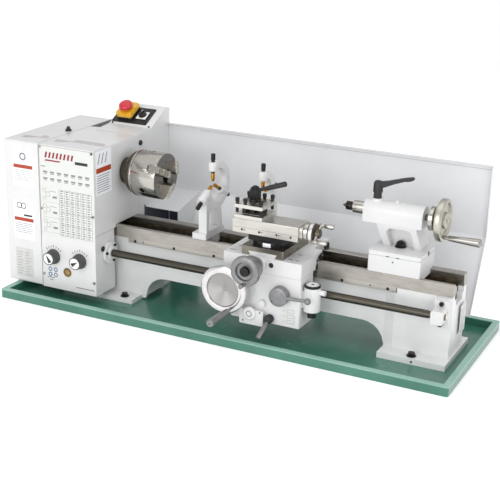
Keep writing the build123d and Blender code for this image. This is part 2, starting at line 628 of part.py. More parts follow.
# ====================================================================================== chuck
backplate = turned_x([(18.2, 44), (20, 46), (33, 58.5), (42, 60), (44, 59)])
backplate -= rod_x(26.2, 10, 27) + rod_x(16, 10, 50)
add("chuck_backplate", backplate)


def radial(angle, r0, r1, half_width, x0, x1):
    """A bar along a chuck radius, from r0 to r1."""
    bar = box(x0, x1, r0, r1, -half_width, half_width)
    return Pos(0, 0, CENTRE_HEIGHT) * Rot(angle, 0, 0) * bar


chuck = turned_x([
    (44, 61.5), (46, CHUCK_R), (50, CHUCK_R), (50, 61.8), (53, 61.8), (53, CHUCK_R), (124.5, CHUCK_R),
    (CHUCK_X[1], 62),
])
chuck -= rod_x(16.5, 40, 130)
for angle in JAW_ANGLES:
    chuck -= radial(angle, 5, 70, 9.0, 100, 130)
    chuck -= radial(angle, 5, 70, 12.0, 106, 115)
    socket = Pos(84, 0, CENTRE_HEIGHT) * Rot(angle + 60, 0, 0) * Pos(0, 59, 0) * Rot(-90, 0, 0)
    chuck -= socket * Cylinder(8.0, 22)
    a = math.radians(angle + 60)
    chuck -= rod_x(3.2, 118, 128, 40 * math.cos(a), CENTRE_HEIGHT + 40 * math.sin(a))
add("chuck_body", chuck)

for n, angle in enumerate(JAW_ANGLES):
    x0 = CHUCK_X[1]
    jaw = radial(angle, 16.8, 60, 8.92, 100.2, x0 + 8)
    jaw += radial(angle, 16.8, 60, 11.8, 106.2, 114.8)
    jaw += radial(angle, 16.8, 46, 8.92, x0 + 7, x0 + 16)
    jaw += radial(angle, 16.8, 30, 8.92, x0 + 15, x0 + JAW_OUT)
    tip = Pos(0, 0, CENTRE_HEIGHT) * Rot(angle, 0, 0)
    jaw -= tip * prism_yz([(16, 4), (16, 12), (26, 12)], x0 - 26, x0 + 34)
    jaw -= tip * prism_yz([(16, -4), (26, -12), (16, -12)], x0 - 26, x0 + 34)
    add(f"chuck_jaw_{n + 1}", jaw)


# ==================================================================================== carriage
def saddle():
    x0, x1 = SADDLE_X
    front, top = SADDLE_FRONT, SADDLE_TOP
    # front wing over the front way, narrower bridge, rear wing
    body = rounded_z(x0, x1, front, -20, -22, top, 4)
    body += box(x0 + 30, x1 - 24, -60, 40, 1.0, top)
    body += rounded_z(x0 + 10, x1 - 20, 22, 78, -22, top, 4)
    cut = [
        (-BED_HALF - 0.35, -60), (-BED_HALF - 0.35, 0.3), (-46.6, 0.3), (-33.8, -10.6),
        (-27.6, -10.6), (-10, -60),
    ]
    body -= prism_yz(cut, x0 - 1, x1 + 1)
    body -= box(x0 - 1, x1 + 1, -28, 34, -60, 0.3)
    body -= box(x0 - 1, x1 + 1, 30, BED_HALF + 0.35, -60, 0.3)
    body -= box(x0 - 1, x1 + 1, -60, -20, -60, -11.2)
    # dovetail for the cross slide and the bore of its screw
    c = (SLIDE_X[0] + SLIDE_X[1]) / 2
    dovetail = [(c - 34, top - 0.1), (c - 40, top + 10), (c + 40, top + 10), (c + 34, top - 0.1)]
    body += prism_xz(dovetail, front + 8, 70)
    body -= rod_y(8.0, front - 1, -60, CROSS_X, CROSS_Z)
    collar = rod_y(20, front - 14, front + 1, CROSS_X, CROSS_Z)
    body += collar - rod_y(7.0 + RUN_FIT, front - 15, front + 2, CROSS_X, CROSS_Z)
    body += rod_y(9, front - 1.5, front + 1, 519, 3)
    return body


def apron():
    x0, x1 = APRON_X
    z0, z1 = APRON_Z
    body = rounded_z(x0, x1, SADDLE_FRONT, APRON_BACK, z0, z1, 4)
    body -= box(x0 + 9, x1 - 9, SADDLE_FRONT + 10, APRON_BACK + 1, z0 + 9, z1 - 9)
    body -= rod_x(SCREW_R + 1.2, x0 - 1, x1 + 1, SCREW_Y, SCREW_Z)
    for x in (x0 - 1, x1 - 12):
        body -= box(x, x + 13, SCREW_Y, APRON_BACK + 1, SCREW_Z - SCREW_R - 1.2, SCREW_Z + SCREW_R + 1.2)
    # worm drop box low on the front, with its round boss, and two cover pins
    body += rounded_y(440, 506, SADDLE_FRONT - 14, SADDLE_FRONT + 1, -160, -120, 3)
    body += turned_y([(SADDLE_FRONT - 19, 15), (SADDLE_FRONT - 17, 18), (SADDLE_FRONT - 13, 18)], 469, -130)
    body += turned_y([(SADDLE_FRONT - 8, 8), (SADDLE_FRONT - 6, 9), (SADDLE_FRONT + 1, 9)], 499, -101)
    # bosses of the handwheel, half-nut lever and feed lever
    wheel_x, wheel_z = HANDWHEEL
    body += box(wheel_x - 24, x0 + 12, SADDLE_FRONT, SADDLE_FRONT + 22, wheel_z - 26, wheel_z + 26)
    body += rod_y(22, SADDLE_FRONT - 14, SADDLE_FRONT + 1, wheel_x, wheel_z)
    body -= rod_y(8.0 + RUN_FIT, SADDLE_FRONT - 15, SADDLE_FRONT + 24, wheel_x, wheel_z)
    body -= rod_y(6.0 + RUN_FIT, SADDLE_FRONT - 1, SADDLE_FRONT + 11, *HALFNUT_AT)
    body -= rod_y(5.0 + RUN_FIT, SADDLE_FRONT - 1, SADDLE_FRONT + 11, *FEED_AT)
    # thread dial stand on the right end
    dx, dy = DIAL_AT
    stand = rod_z(21, -106, -44, dx, dy) - rod_z(5.0 + RUN_FIT, -108, -43, dx, dy)
    stand += box(x1 - 1, dx - 10, dy - 12, dy + 8, -98, -54)
    stand += rod_x(7, dx + 18, dx + 34, dy + 2, -56)
    stand -= rod_x(SCREW_R + 1.2, x1 - 2, dx + 40, SCREW_Y, SCREW_Z)
    stand -= rod_z(5.0 + RUN_FIT, -108, -43, dx, dy)
    body += stand
    return body


add("saddle", saddle())
add("apron", apron())


def carriage_wheel():
    x, z = HANDWHEEL
    y = -196.0
    wheel = turned_y([
        (y + 11, 9), (y + 13, 40), (y + 1, 44), (y, 48), (y, 58), (y + 3, 63), (y + 9, 64), (y + 14, 63),
        (y + 17, 58), (y + 17, 46), (y + 22, 40), (y + 22, 22), (y + 28, 20), (y + 28.5, 8),
        (SADDLE_FRONT + 20, 8),
    ], x, z)
    wheel -= turned_y([(y - 1, 6), (y + 3, 6)], x, z)
    hx, hz = x + 20, z - 49
    wheel += rod_y(4, y - 12, y + 6, hx, hz)
    grip = [(HANDLE_FRONT, 6.5), (HANDLE_FRONT + 3, 9.5), (y - 55, 9.0), (y - 12, 7.0), (y - 9, 5.5)]
    wheel += turned_y(grip, hx, hz)
    return wheel


def cross_wheel():
    x, z = CROSS_X, CROSS_Z
    y = -236.0
    wheel = turned_y([
        (y + 7, 12), (y + 7, 22), (y + 1, 25), (y, 28), (y, 35), (y + 2, 38), (y + 14, 39), (y + 18, 37),
        (y + 20, 30), (y + 26, 30), (y + 46, 30), (y + 47, 26), (SADDLE_FRONT - 14.6, 18),
        (SADDLE_FRONT - 14.6, 7.0), (-70, 7.0),
    ], x, z)
    wheel += turned_y([(y - 2, 9), (y, 11), (y + 8, 11)], x, z)
    wheel += turned_y([(y - 22, 4.5), (y - 20, 6), (y - 4, 5), (y - 2, 3.5), (y + 2, 3.5)], x + 1, z - 31)
    return wheel


add("carriage_wheel", carriage_wheel())
add("cross_wheel", cross_wheel())

hx, hz = HALFNUT_AT
lever = turned_y([
    (-176, 21), (-174, 25), (SADDLE_FRONT - 0.5, 25), (SADDLE_FRONT - 0.5, 6.0), (SADDLE_FRONT + 16, 6.0),
], hx, hz)
lever += between((hx + 20, -168, hz + 1), (hx + 76, -172, hz + 4), 3.6)
lever += Pos(hx + 80, -172, hz + 4) * Sphere(8.5)
add("half_nut_lever", lever)

fx, fz = FEED_AT
feed = turned_y([
    (-168, 11), (SADDLE_FRONT - 0.5, 11.5), (SADDLE_FRONT - 0.5, 5.0), (SADDLE_FRONT + 16, 5.0),
], fx, fz)
feed += between((fx, -160, fz), (fx - 7, -196, fz - 31), 5.0)
feed += between((fx - 4, -180, fz - 18), (fx - 9, -203, fz - 38), 7.0)
add("feed_lever", feed)

dx, dy = DIAL_AT
dial = turned_z([(-112, 5.0), (-43.5, 5.0), (-43.5, 20), (-38, 20), (-37, 19)], dx, dy)
dial += turned_z([(-124, 11), (-108, 11)], dx, dy) + rod_z(5.0, -113, -107, dx, dy)
add("thread_dial", dial)


# --- cross slide, swivel, compound, tool post
def cross_slide():
    x0, x1 = SLIDE_X
    y0, y1 = -146.0, 58.0
    c = (x0 + x1) / 2
    body = rounded_z(x0, x1, y0, y1, SADDLE_TOP + 0.3, SLIDE_TOP, 3)
    low, high = SADDLE_TOP - 1, SADDLE_TOP + 10.4
    body -= prism_xz([(c - 34.6, low), (c - 40.6, high), (c + 40.6, high), (c + 34.6, low)], y0 - 1, y1 + 1)
    for y in (-110.0, -60.0, 0.0):
        body -= rod_x(3.2, x1 - 6, x1 + 1, y, SADDLE_TOP + 6)
    for slot in (c - 34, c + 34):
        body -= box(slot - 5, slot + 5, 0, y1 + 1, SLIDE_TOP - 5, SLIDE_TOP + 1)
    return body


def swivel_base():
    """Degree-scaled turntable and the fixed dovetail slide cast with it."""
    x, y = SWIVEL_X, SWIVEL_Y
    body = rod_z(52, SLIDE_TOP + 0.02, SLIDE_TOP + 14, x, y)
    body += rounded_z(x - 50, x + 50, y - 46, y + 46, SLIDE_TOP + 13, COMPOUND_Z[0] - 0.3, 3)
    mid = (COMPOUND_Y[0] + COMPOUND_Y[1]) / 2
    z = COMPOUND_Z[0]
    tail = [(mid - 18, z - 1), (mid - 24, z + 10), (mid + 24, z + 10), (mid + 18, z - 1)]
    body += prism_yz(tail, 428, 552)
    return body


def compound_slide():
    x0, x1 = 402.0, 581.0
    y0, y1 = COMPOUND_Y
    mid = (y0 + y1) / 2
    z0, z1 = COMPOUND_Z
    body = rounded_x(x0, x1, y0, y1, z0, z1, 2)
    low, high = z0 - 1, z0 + 10.4
    groove = [(mid - 18.6, low), (mid - 24.6, high), (mid + 24.6, high), (mid + 18.6, low)]
    body -= prism_yz(groove, x0 - 1, x1 + 1)
    for x in (x0 + 26, x0 + 74, x0 + 122, x0 + 160):
        body -= rod_y(3.0, y0 - 1, y0 + 8, x, z0 + 10)
    # end plate that carries the feed screw
    body += rounded_x(x1 - 0.5, x1 + 8, y0 + 8, y1 - 8, z0 + 6, z1 - 2, 8)
    body -= rod_x(6.0 + RUN_FIT, x1 - 30, x1 + 9, mid, COMPOUND_AXIS_Z)
    # stud of the tool post
    body += rod_z(9.9, z1 - 1, 167, POST_X, POST_Y)
    return body


def compound_crank():
    mid = sum(COMPOUND_Y) / 2
    z = COMPOUND_AXIS_Z
    crank = turned_x([
        (553, 5.99), (589.4, 5.99), (589.4, 25), (600, 25), (601, 20), (603, 20), (603, 27), (613, 27),
        (615, 24), (617, 12), (626, 11), (627, 9),
    ], mid, z)
    for side in (-1, 1):
        end = (619, mid + side * 22, z + side * 15)
        crank += between((619, mid, z), end, 5.5)
        grip = [(615, 3), (620, 5.6), (622, 4), (626, 4), (628, 5.5), (650, 6.2), (653, 4)]
        crank += turned_x(grip, end[1], end[2])
    return crank


def tool_post():
    h = POST_HALF
    x, y = POST_X, POST_Y
    z0, z1 = POST_Z
    body = rounded_z(x - h, x + h, y - h, y + h, z0 + 0.02, z0 + 9, 1.5)
    body += rounded_z(x - h, x + h, y - h, y + h, z1 - 9, z1, 1.5)
    body += rounded_z(x - h + 15, x + h - 15, y - h + 15, y + h - 15, z0 + 8, z1 - 8, 2)
    body += rod_z(15, z1 - 1, z1 + 9, x, y)
    body -= rod_z(9.9 + RUN_FIT, z0 - 1, z1 + 20, x, y)
    for sx, sy in post_screw_places():
        body -= rod_z(4.0, z1 - 10, z1 + 1, sx, sy)
    return body


def post_screw_places():
    """Two clamping screws near each of the four edges."""
    places = []
    for turn in range(4):
        c, s = round(math.cos(turn * math.pi / 2)), round(math.sin(turn * math.pi / 2))
        for along in (-29.0, -1.0):
            places.append((POST_X + along * c + 31.5 * s, POST_Y + along * s - 31.5 * c))
    return places


def tool_post_screws():
    z0, z1 = POST_Z
    group = Part()
    for x, y in post_screw_places():
        screw = rod_z(4.0, z0 + 13, z1 + 7, x, y) + rod_z(5.6, z1 + 0.5, z1 + 4, x, y)
        screw += Pos(x, y, z1 + 9.5) * Box(7.5, 7.5, 11)
        group += screw
    return group


def tool_clamp_lever():
    x, y = POST_X, POST_Y
    z = POST_Z[1]
    hub = turned_z([(z + 9.3, 15), (z + 14, 17), (z + 30, 15), (z + 40, 10), (z + 43, 5)], x, y)
    hub -= rod_z(9.9 + RUN_FIT, z + 8, z + 31, x, y)
    hub += between((x + 8, y, z + 33), (x + 62, y, z + 47), 4.2)
    hub += between((x + 44, y, z + 42.3), (x + 86, y, z + 53.2), 6.8)
    return hub


add("cross_slide", cross_slide())
add("swivel_base", swivel_base())
add("compound_slide", compound_slide())
add("compound_crank", compound_crank())
add("tool_post", tool_post())
add("tool_post_screws", tool_post_screws())
add("tool_clamp_lever", tool_clamp_lever())


# ======================================================================================== rests
def radial_rod(angle, x, r0, r1, radius):
    """A round bar along a radius of the spindle axis, from r0 to r1."""
    along = Pos(x, 0, CENTRE_HEIGHT) * Rot(angle, 0, 0) * Pos(0, (r0 + r1) / 2, 0)
    return along * Rot(-90, 0, 0) * Cylinder(radius, r1 - r0)


def finger(angle, x, reach, knob_r):
    """A rest finger: brass tip, round shank and a black knob, along a radius of the spindle axis."""
    start, knob_length = 12.0, 17.0
    along = Pos(x, 0, CENTRE_HEIGHT) * Rot(angle, 0, 0) * Pos(0, start - 2.5, 0)
    tip = along * Rot(-90, 0, 0) * Cone(2.2, 5.0, 5.02)
    shank = radial_rod(angle, x, start, reach, 5.0)
    return shank + tip + radial_rod(angle, x, reach - knob_length, reach, knob_r)


def steady_rest():
    """Open-fronted steady rest: ring segment, three finger bosses, windowed leg and clamped foot."""
    x0, x1 = STEADY_X
    c = CENTRE_HEIGHT
    ring = rod_x(63, x0 + 3, x1 - 3, 17, c - 5) - rod_x(45, x0 - 1, x1 + 1, 17, c - 5)
    mouth = [(0, c), (-10, c + 120), (-140, c + 120), (-140, c - 30), (-62, c - 22), (-40, c - 14)]
    ring -= prism_yz(mouth, x0 - 1, x1 + 1)
    leg = prism_yz(
        [
            (-58, 0.02), (46, 0.02), (46, 10), (36, 14), (26, c - 66), (34, c - 52),
            (20, c - 48), (-30, c - 44), (-60, c - 24), (-56, c - 46), (-53, 18), (-58, 14),
        ],
        x0, x1,
    )
    window = prism_yz([(-43, 21), (18, 21), (2, 74), (-38, 74)], x0 - 1, x1 + 1)
    body = ring + (leg - window - rod_x(45, x0 - 1, x1 + 1, 17, c - 5))
    body += rounded_z(x0 - 18, x1, -58, 46, 0.02, 16, 3)
    mid = (x0 + x1) / 2
    for angle, r0, r1 in ((90, 36, 60), (210, 38, 74), (330, 44, 79)):
        body += radial_rod(angle, mid, r0, r1, 12)
    for angle in (90, 210, 330):
        body -= radial_rod(angle, mid, 15, 85, 5.0 + RUN_FIT)
    body += box(x0 - 10, x1 - 4, -26, 28, -24, 1)
    return body


def follow_rest():
    """Follow rest on the saddle: rear column, arm over the work and two finger bosses."""
    x0, x1 = FOLLOW_X
    c = CENTRE_HEIGHT
    arm = rod_x(54, x0 + 3, x1 - 3) - rod_x(35, x0 - 1, x1 + 1)
    mouth = [(0, c), (-14, c + 90), (-90, c + 90), (-90, c - 90), (30, c - 90), (30, c - 30)]
    arm -= prism_yz(mouth, x0 - 1, x1 + 1)
    foot = SADDLE_TOP + 0.02
    column = prism_yz(
        [
            (34, foot), (74, foot), (74, 34), (66, 40), (60, c - 20), (58, c + 2), (40, c - 4),
            (38, c - 40), (36, 36),
        ],
        x0, x1,
    )
    body = arm + column
    mid = (x0 + x1) / 2
    for angle in (90, 0):
        body += radial_rod(angle, mid, 31, 55, 12)
    for angle in (90, 0):
        body -= radial_rod(angle, mid, 15, 85, 5.0 + RUN_FIT)
    return body


add("steady_rest", steady_rest())
for n, (angle, reach) in enumerate(((90, 82.0), (210, 96.0), (330, 101.0))):
    add(f"steady_finger_{n + 1}", finger(angle, sum(STEADY_X) / 2, reach, 6.0))
add("follow_rest", follow_rest())
for n, (angle, reach) in enumerate(((90, 75.0), (0, 80.0))):
    add(f"follow_finger_{n + 1}", finger(angle, sum(FOLLOW_X) / 2, reach, 6.0))


# ==================================================================================== tailstock
def tailstock_base():
    x0, x1 = TAIL_BASE_X
    body = rounded_z(x0, x1, -57, 57, -11, TAIL_SEAM - 0.05, 4)
    front_vee = [(-90, -60), (-90, 0.02), (-46.9, 0.02), (-34.1, -10.9), (-34.1, -60)]
    body -= prism_yz(front_vee, x0 - 1, x1 + 1)
    body -= box(x0 - 1, x1 + 1, 31.2, 70, -60, 0.02)
    body -= box(x0 - 1, x1 + 1, -34.2, -26, -60, -10.9)
    body += box(x0 + 20, x1 - 20, -24, 28, -40, -10)
    return body


def tailstock_body():
    x0, x1 = TAIL_BASE_X
    b0, b1 = BARREL_X
    c = CENTRE_HEIGHT
    body = rounded_z(x0, x1, -57, 57, TAIL_SEAM, TAIL_PLATE, 4)
    # leaning neck between the plate and the barrel, hollowed at the front for the clamp nut
    foot = TAIL_PLATE - 1
    neck = prism_yz([(-4, foot), (-20, 107), (-22, c), (24, c), (44, 100), (50, foot)], x0, x1)
    side = [(756, foot), (x0 + 5, 107), (x0 + 5, c), (842, c), (842, 107), (853, foot)]
    neck &= prism_xz(side, -80, 80)
    pocket = prism_xz(
        [(774, TAIL_PLATE), (836, TAIL_PLATE), (831, 88), (815, 104), (780, 104), (764, 88)], -40, 12
    )
    pocket += rod_y(16, -40, 12, 780, 88) + rod_y(16, -40, 12, 815, 88)
    body += neck - pocket
    # barrel: round on top, flat at the sides and below
    body += rod_x(BARREL_R, b0, b1) + box(b0, b1, -BARREL_R, BARREL_R, c - BARREL_R + 1, c)
    # lock boss and oil cup on top of the barrel, then the quill's bore and the lock screw's
    body += rod_z(13, c + 20, c + 31, LOCK_X, 0) + rod_z(5, c + 25, c + 31, OIL_CUP_X, 0)
    body -= rod_x(QUILL_R + RUN_FIT, b0 - 1, b1 - 8)
    body -= rod_x(8.0 + RUN_FIT, b1 - 9, b1 + 1)
    body -= rod_z(5.0 + RUN_FIT, c + 17, c + 32, LOCK_X, 0)
    return body


def tailstock_quill():
    c = CENTRE_HEIGHT
    quill = turned_x([(671, QUILL_R - 1), (672, QUILL_R), (844.5, QUILL_R)])
    quill -= rod_x(5.5, 760, 846)
    quill -= box(735, 840, -2.5, 2.5, c - QUILL_R - 1, c - QUILL_R + 3)
    centre = turned_x([(TIP_X, 0.4), (652, 7.5), (652, 11), (664, 11), (671.5, 9.5)])
    return quill + centre


def tailstock_wheel():
    b1 = BARREL_X[1]
    wheel = turned_x([
        (780, 5.4), (b1 - 12, 5.4), (b1 - 12, 7.99), (b1 + 0.4, 7.99), (b1 + 0.4, 30), (b1 + 12, 30),
        (b1 + 14, 22), (880, 20), (882, 45), (878, 47), (878, 50), (881, 53), (893, 53), (897, 50),
        (897, 44), (889, 42), (888, 22), (898, 20), (899, 10),
    ])
    hy, hz = -7.0, CENTRE_HEIGHT - 41
    wheel += turned_x([(884, 4), (906, 4), (906, 5.5), (910, 6), (984, 10.5), (988, 9.5), (990, 7)], hy, hz)
    return wheel


def tailstock_lock_lever():
    z = CENTRE_HEIGHT + 31.4
    lever = turned_z([(z, 12.5), (z + 6, 12), (z + 36, 11.5), (z + 42, 9), (z + 44, 4)], LOCK_X, 0)
    lever += rod_z(4.99, CENTRE_HEIGHT + 18, z + 1, LOCK_X, 0)
    lever += between((LOCK_X + 6, 0, z + 32), (LOCK_X + 52, 0, z + 49), 5.0)
    lever += between((LOCK_X + 38, 0, z + 44.5), (LOCK_X + 90, 0, z + 58), 6.8)
    return lever


add("tailstock_base", tailstock_base())
add("tailstock_body", tailstock_body())
add("tailstock_quill", tailstock_quill())
add("tailstock_wheel", tailstock_wheel())
add("tailstock_lock_lever", tailstock_lock_lever())


# ==================================================================================== fasteners
def fasteners():
    """Socket screws of the panel, rack, flange and bracket, and the hexagon foot bolts."""
    group = Part()
    for x, z in PANEL_SCREWS:
        group += cap_screw_front(x, HEAD_FRONT, z, 3.6)
    for x in RACK_SCREWS:
        group += rod_y(3.0, -BED_HALF + 0.5, -WALL_HALF + 8, x, -39)
        head = rod_y(4.0, -BED_HALF + 0.4, -BED_HALF + 3.4, x, -39)
        group += head - rod_y(2.0, -BED_HALF, -BED_HALF + 2, x, -39)
    for y, z in FLANGE_SCREWS:
        group += cap_screw_right(9.0, y, z, 3.8)
    for x, z in BRACKET_BOLTS:
        group += cap_screw_front(x, BRACKET_BACK - 9, z, 5.6)
    for x, y in FOOT_BOLTS:
        top = FOOT_Z + FOOT_FLANGE - (3 if x < LEFT_FOOT_X[1] else 0)
        hexagon = Plane.XY.offset(top + 2) * Pos(x, y) * RegularPolygon(9, 6)
        group += rod_z(5.0, FOOT_Z + 0.2, top + 1, x, y) + rod_z(12, top, top + 2.02, x, y)
        group += extrude(hexagon, amount=8)
    return group


add("fasteners", fasteners())

low, high = [1e9] * 3, [-1e9] * 3
for name, shape in parts.items():
    placed = SHIFT * shape
    export_step(placed, f"parts/{name}.step")
    size = placed.bounding_box()
    low = [min(a, b) for a, b in zip(low, size.min)]
    high = [max(a, b) for a, b in zip(high, size.max)]
print(len(parts), "parts", [round(v, 1) for v in low], [round(v, 1) for v in high])
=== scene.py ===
import json
import math

import bmesh
import bpy
from mathutils import Matrix, Vector


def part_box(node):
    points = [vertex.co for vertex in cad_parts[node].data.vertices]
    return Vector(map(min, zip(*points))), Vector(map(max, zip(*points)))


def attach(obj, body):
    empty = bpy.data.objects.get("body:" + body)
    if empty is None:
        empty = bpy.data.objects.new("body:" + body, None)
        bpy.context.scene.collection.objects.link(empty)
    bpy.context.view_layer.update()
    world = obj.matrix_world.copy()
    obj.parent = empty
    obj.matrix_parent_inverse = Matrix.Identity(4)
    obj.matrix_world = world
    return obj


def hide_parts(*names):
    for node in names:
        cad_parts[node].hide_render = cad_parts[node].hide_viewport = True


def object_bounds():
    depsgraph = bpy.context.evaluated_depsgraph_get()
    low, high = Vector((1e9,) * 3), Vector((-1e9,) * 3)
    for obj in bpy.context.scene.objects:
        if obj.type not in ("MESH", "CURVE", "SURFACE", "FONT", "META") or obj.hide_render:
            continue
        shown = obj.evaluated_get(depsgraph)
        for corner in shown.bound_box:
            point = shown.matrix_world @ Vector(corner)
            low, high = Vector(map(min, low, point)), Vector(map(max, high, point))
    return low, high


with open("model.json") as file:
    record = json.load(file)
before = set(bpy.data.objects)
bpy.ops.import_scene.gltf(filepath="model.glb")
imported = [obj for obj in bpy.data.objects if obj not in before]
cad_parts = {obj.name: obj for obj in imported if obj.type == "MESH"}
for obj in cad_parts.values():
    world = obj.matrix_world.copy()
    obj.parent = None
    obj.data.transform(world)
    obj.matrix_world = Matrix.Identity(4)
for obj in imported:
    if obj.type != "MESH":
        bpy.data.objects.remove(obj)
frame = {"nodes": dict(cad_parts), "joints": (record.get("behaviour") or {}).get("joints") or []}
CAD_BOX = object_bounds()
JOINTS = {joint["name"]: joint for joint in frame["joints"]}

# Millimetres in the machine frame, as the lathe is drawn: X from the headstock's right face, Y from
# the spindle axis, Z from the top of the ways.
MM = 0.001
OUT, RIGHT, UP = (0, -1, 0), (1, 0, 0), (0, 0, 1)
ORIGIN = Vector((
    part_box("headstock_casting")[1].x,
    JOINTS["spindle_spin"]["pos_m"][1],
    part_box("bed")[1].z,
))
CENTRE = (JOINTS["spindle_spin"]["pos_m"][2] - ORIGIN.z) / MM


def at(x, y, z):
    return ORIGIN + Vector((x, y, z)) * MM


def span(node):
    """A CAD node's lowest and highest corners, in millimetres of the machine frame."""
    low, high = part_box(node)
    return (low - ORIGIN) / MM, (high - ORIGIN) / MM


def pivot(joint):
    """A joint's own point, in millimetres of the machine frame."""
    return (Vector(JOINTS[joint]["pos_m"]) - ORIGIN) / MM


def pivot_point(joint):
    return Vector(JOINTS[joint]["pos_m"])


APRON_FACE = span("saddle")[0].y + 14    # behind the worm box, which stands out in front


# ------------------------------------------------------------------------------------- materials
def rgb(red, green, blue):
    """An sRGB colour out of 255, as the linear values a shader takes."""
    def linear(value):
        value /= 255
        return value / 12.92 if value <= 0.04045 else ((value + 0.055) / 1.055) ** 2.4
    return (linear(red), linear(green), linear(blue), 1.0)


class Shader:
    """A node material built round one Principled shader."""

    def __init__(self, name):
        self.material = bpy.data.materials.new(name)
        self.material.use_nodes = True
        self.tree = self.material.node_tree
        self.surface = self.tree.nodes["Principled BSDF"]

    def add(self, kind, inputs=(), **settings):
        node = self.tree.nodes.new(kind)
        for key, value in settings.items():
            setattr(node, key, value)
        for key, value in dict(inputs).items():
            if isinstance(value, bpy.types.NodeSocket):
                self.tree.links.new(value, node.inputs[key])
            else:
                node.inputs[key].default_value = value
        return node

    def set(self, **values):
        """Sets shader sockets; an underscore stands for a space."""
        for key, value in values.items():
            socket = self.surface.inputs[key.replace("_", " ")]
            if isinstance(value, bpy.types.NodeSocket):
                self.tree.links.new(value, socket)
            else:
                socket.default_value = value

    def place(self, scale=(1, 1, 1), centre=None):
        """Object coordinates, measured from centre and stretched by scale."""
        vector = self.add("ShaderNodeTexCoord").outputs["Object"]
        if centre is not None:
            vector = self.vector("SUBTRACT", vector, centre)
        return self.vector("MULTIPLY", vector, scale)

    def along(self, axis):
        """The object coordinate along one axis."""
        return self.add("ShaderNodeSeparateXYZ", {"Vector": self.place()}).outputs[axis]

    def noise(self, vector, scale, detail=3.0, roughness=0.55):
        inputs = {"Vector": vector, "Scale": scale, "Detail": detail, "Roughness": roughness}
        return self.add("ShaderNodeTexNoise", inputs).outputs["Fac"]

    def ramp(self, value, low, high, bottom=0.0, top=1.0):
        inputs = {"Value": value, "From Min": low, "From Max": high, "To Min": bottom, "To Max": top}
        return self.add("ShaderNodeMapRange", inputs).outputs["Result"]

    def math(self, operation, first, second=0.0):
        return self.add("ShaderNodeMath", {0: first, 1: second}, operation=operation).outputs[0]

    def product(self, first, second):
        return self.math("MULTIPLY", first, second)

    def vector(self, operation, *operands, result=0):
        inputs = dict(enumerate(operands))
        return self.add("ShaderNodeVectorMath", inputs, operation=operation).outputs[result]

    def mix(self, share, first, second):
        # 0, 6 and 7 are the factor and the two colours of a colour mix
        return self.add("ShaderNodeMix", {0: share, 6: first, 7: second}, data_type="RGBA").outputs[2]

    def shades(self, value, colour, dark, light):
        """The colour between a darker and a lighter shade, by a noise value."""
        return self.mix(self.ramp(value, 0.3, 0.7), scaled(colour, dark), scaled(colour, light))

    def bump(self, height, distance, strength=1.0, under=None):
        inputs = {"Height": height, "Distance": distance, "Strength": strength}
        if under is not None:
            inputs["Normal"] = under
        return self.add("ShaderNodeBump", inputs).outputs["Normal"]

    def crevices(self, reach=6.0):
        """1 on open surfaces, falling to 0 deep in seams and inner corners."""
        node = self.add("ShaderNodeAmbientOcclusion", {"Distance": reach * MM}, samples=4)
        return node.outputs["AO"]

    def edges(self, radius=0.8):
        """1 along outside edges and corners, 0 on flat faces."""
        soft = self.add("ShaderNodeBevel", {"Radius": radius * MM}, samples=4).outputs[0]
        plain = self.add("ShaderNodeNewGeometry").outputs["Normal"]
        dot = self.vector("DOT_PRODUCT", soft, plain, result="Value")
        return self.ramp(dot, 0.995, 0.86)


def scaled(colour, factor):
    return tuple(min(1.0, channel * factor) for channel in colour[:3]) + (1.0,)


def paint(name, colour, rough=0.34, peel=0.035, swell=0.0, coat=0.25, grime=0.12):
    """Machine enamel: faint mottle, orange peel, a swell from the casting under it, soiling and painted
    shade in seams.
    """
    s = Shader(name)
    plain = s.place()
    mottle = s.ramp(s.noise(plain, 14.0, 4.0), 0.3, 0.7)
    base = s.mix(mottle, scaled(colour, 0.965), scaled(colour, 1.02))
    specks = s.ramp(s.noise(plain, 900.0, 2.0), 0.66, 0.78, 0.0, 0.16)
    base = s.mix(specks, base, scaled(colour, 0.72))
    # soiling and painted shade: ambient occlusion darkens seams and inner corners towards brown grey
    dirt_and_shade = s.ramp(s.crevices(), 0.15, 0.8, grime, 0.0)
    base = s.mix(dirt_and_shade, base, rgb(92, 84, 70))
    scuffs = s.noise(s.place((3.0, 1.0, 9.0)), 24.0, 5.0)
    s.set(Base_Color=base, Roughness=s.ramp(scuffs, 0.3, 0.75, rough - 0.07, rough + 0.12))
    normal = s.bump(s.noise(plain, 420.0, 2.0), peel * MM)
    if swell:
        normal = s.bump(s.noise(plain, 55.0, 3.0), swell * MM, under=normal)
    s.set(Normal=normal, Coat_Weight=coat, Coat_Roughness=0.18)
    return s.material


def ground_steel(name, colour, rough=0.30, lay=(4.0, 160.0, 160.0), stain=0.35, metal=1.0):
    """Surface-ground steel: fine streaks along the lay, oil staining, brighter worn edges."""
    s = Shader(name)
    streaks = s.noise(s.place(lay), 14.0, 6.0, 0.7)
    broad = s.noise(s.place((2.0, 6.0, 6.0)), 9.0, 4.0)
    base = s.shades(streaks, colour, 0.84, 1.08)
    base = s.mix(s.ramp(broad, 0.45, 0.75, 0.0, stain), base, scaled(colour, 0.58))
    base = s.mix(s.edges(0.5), base, scaled(colour, 1.5))
    sheen = s.ramp(streaks, 0.25, 0.75, rough - 0.06, rough + 0.12)
    s.set(Base_Color=base, Metallic=metal, Roughness=sheen)
    s.set(Normal=s.bump(streaks, 0.02 * MM))
    return s.material


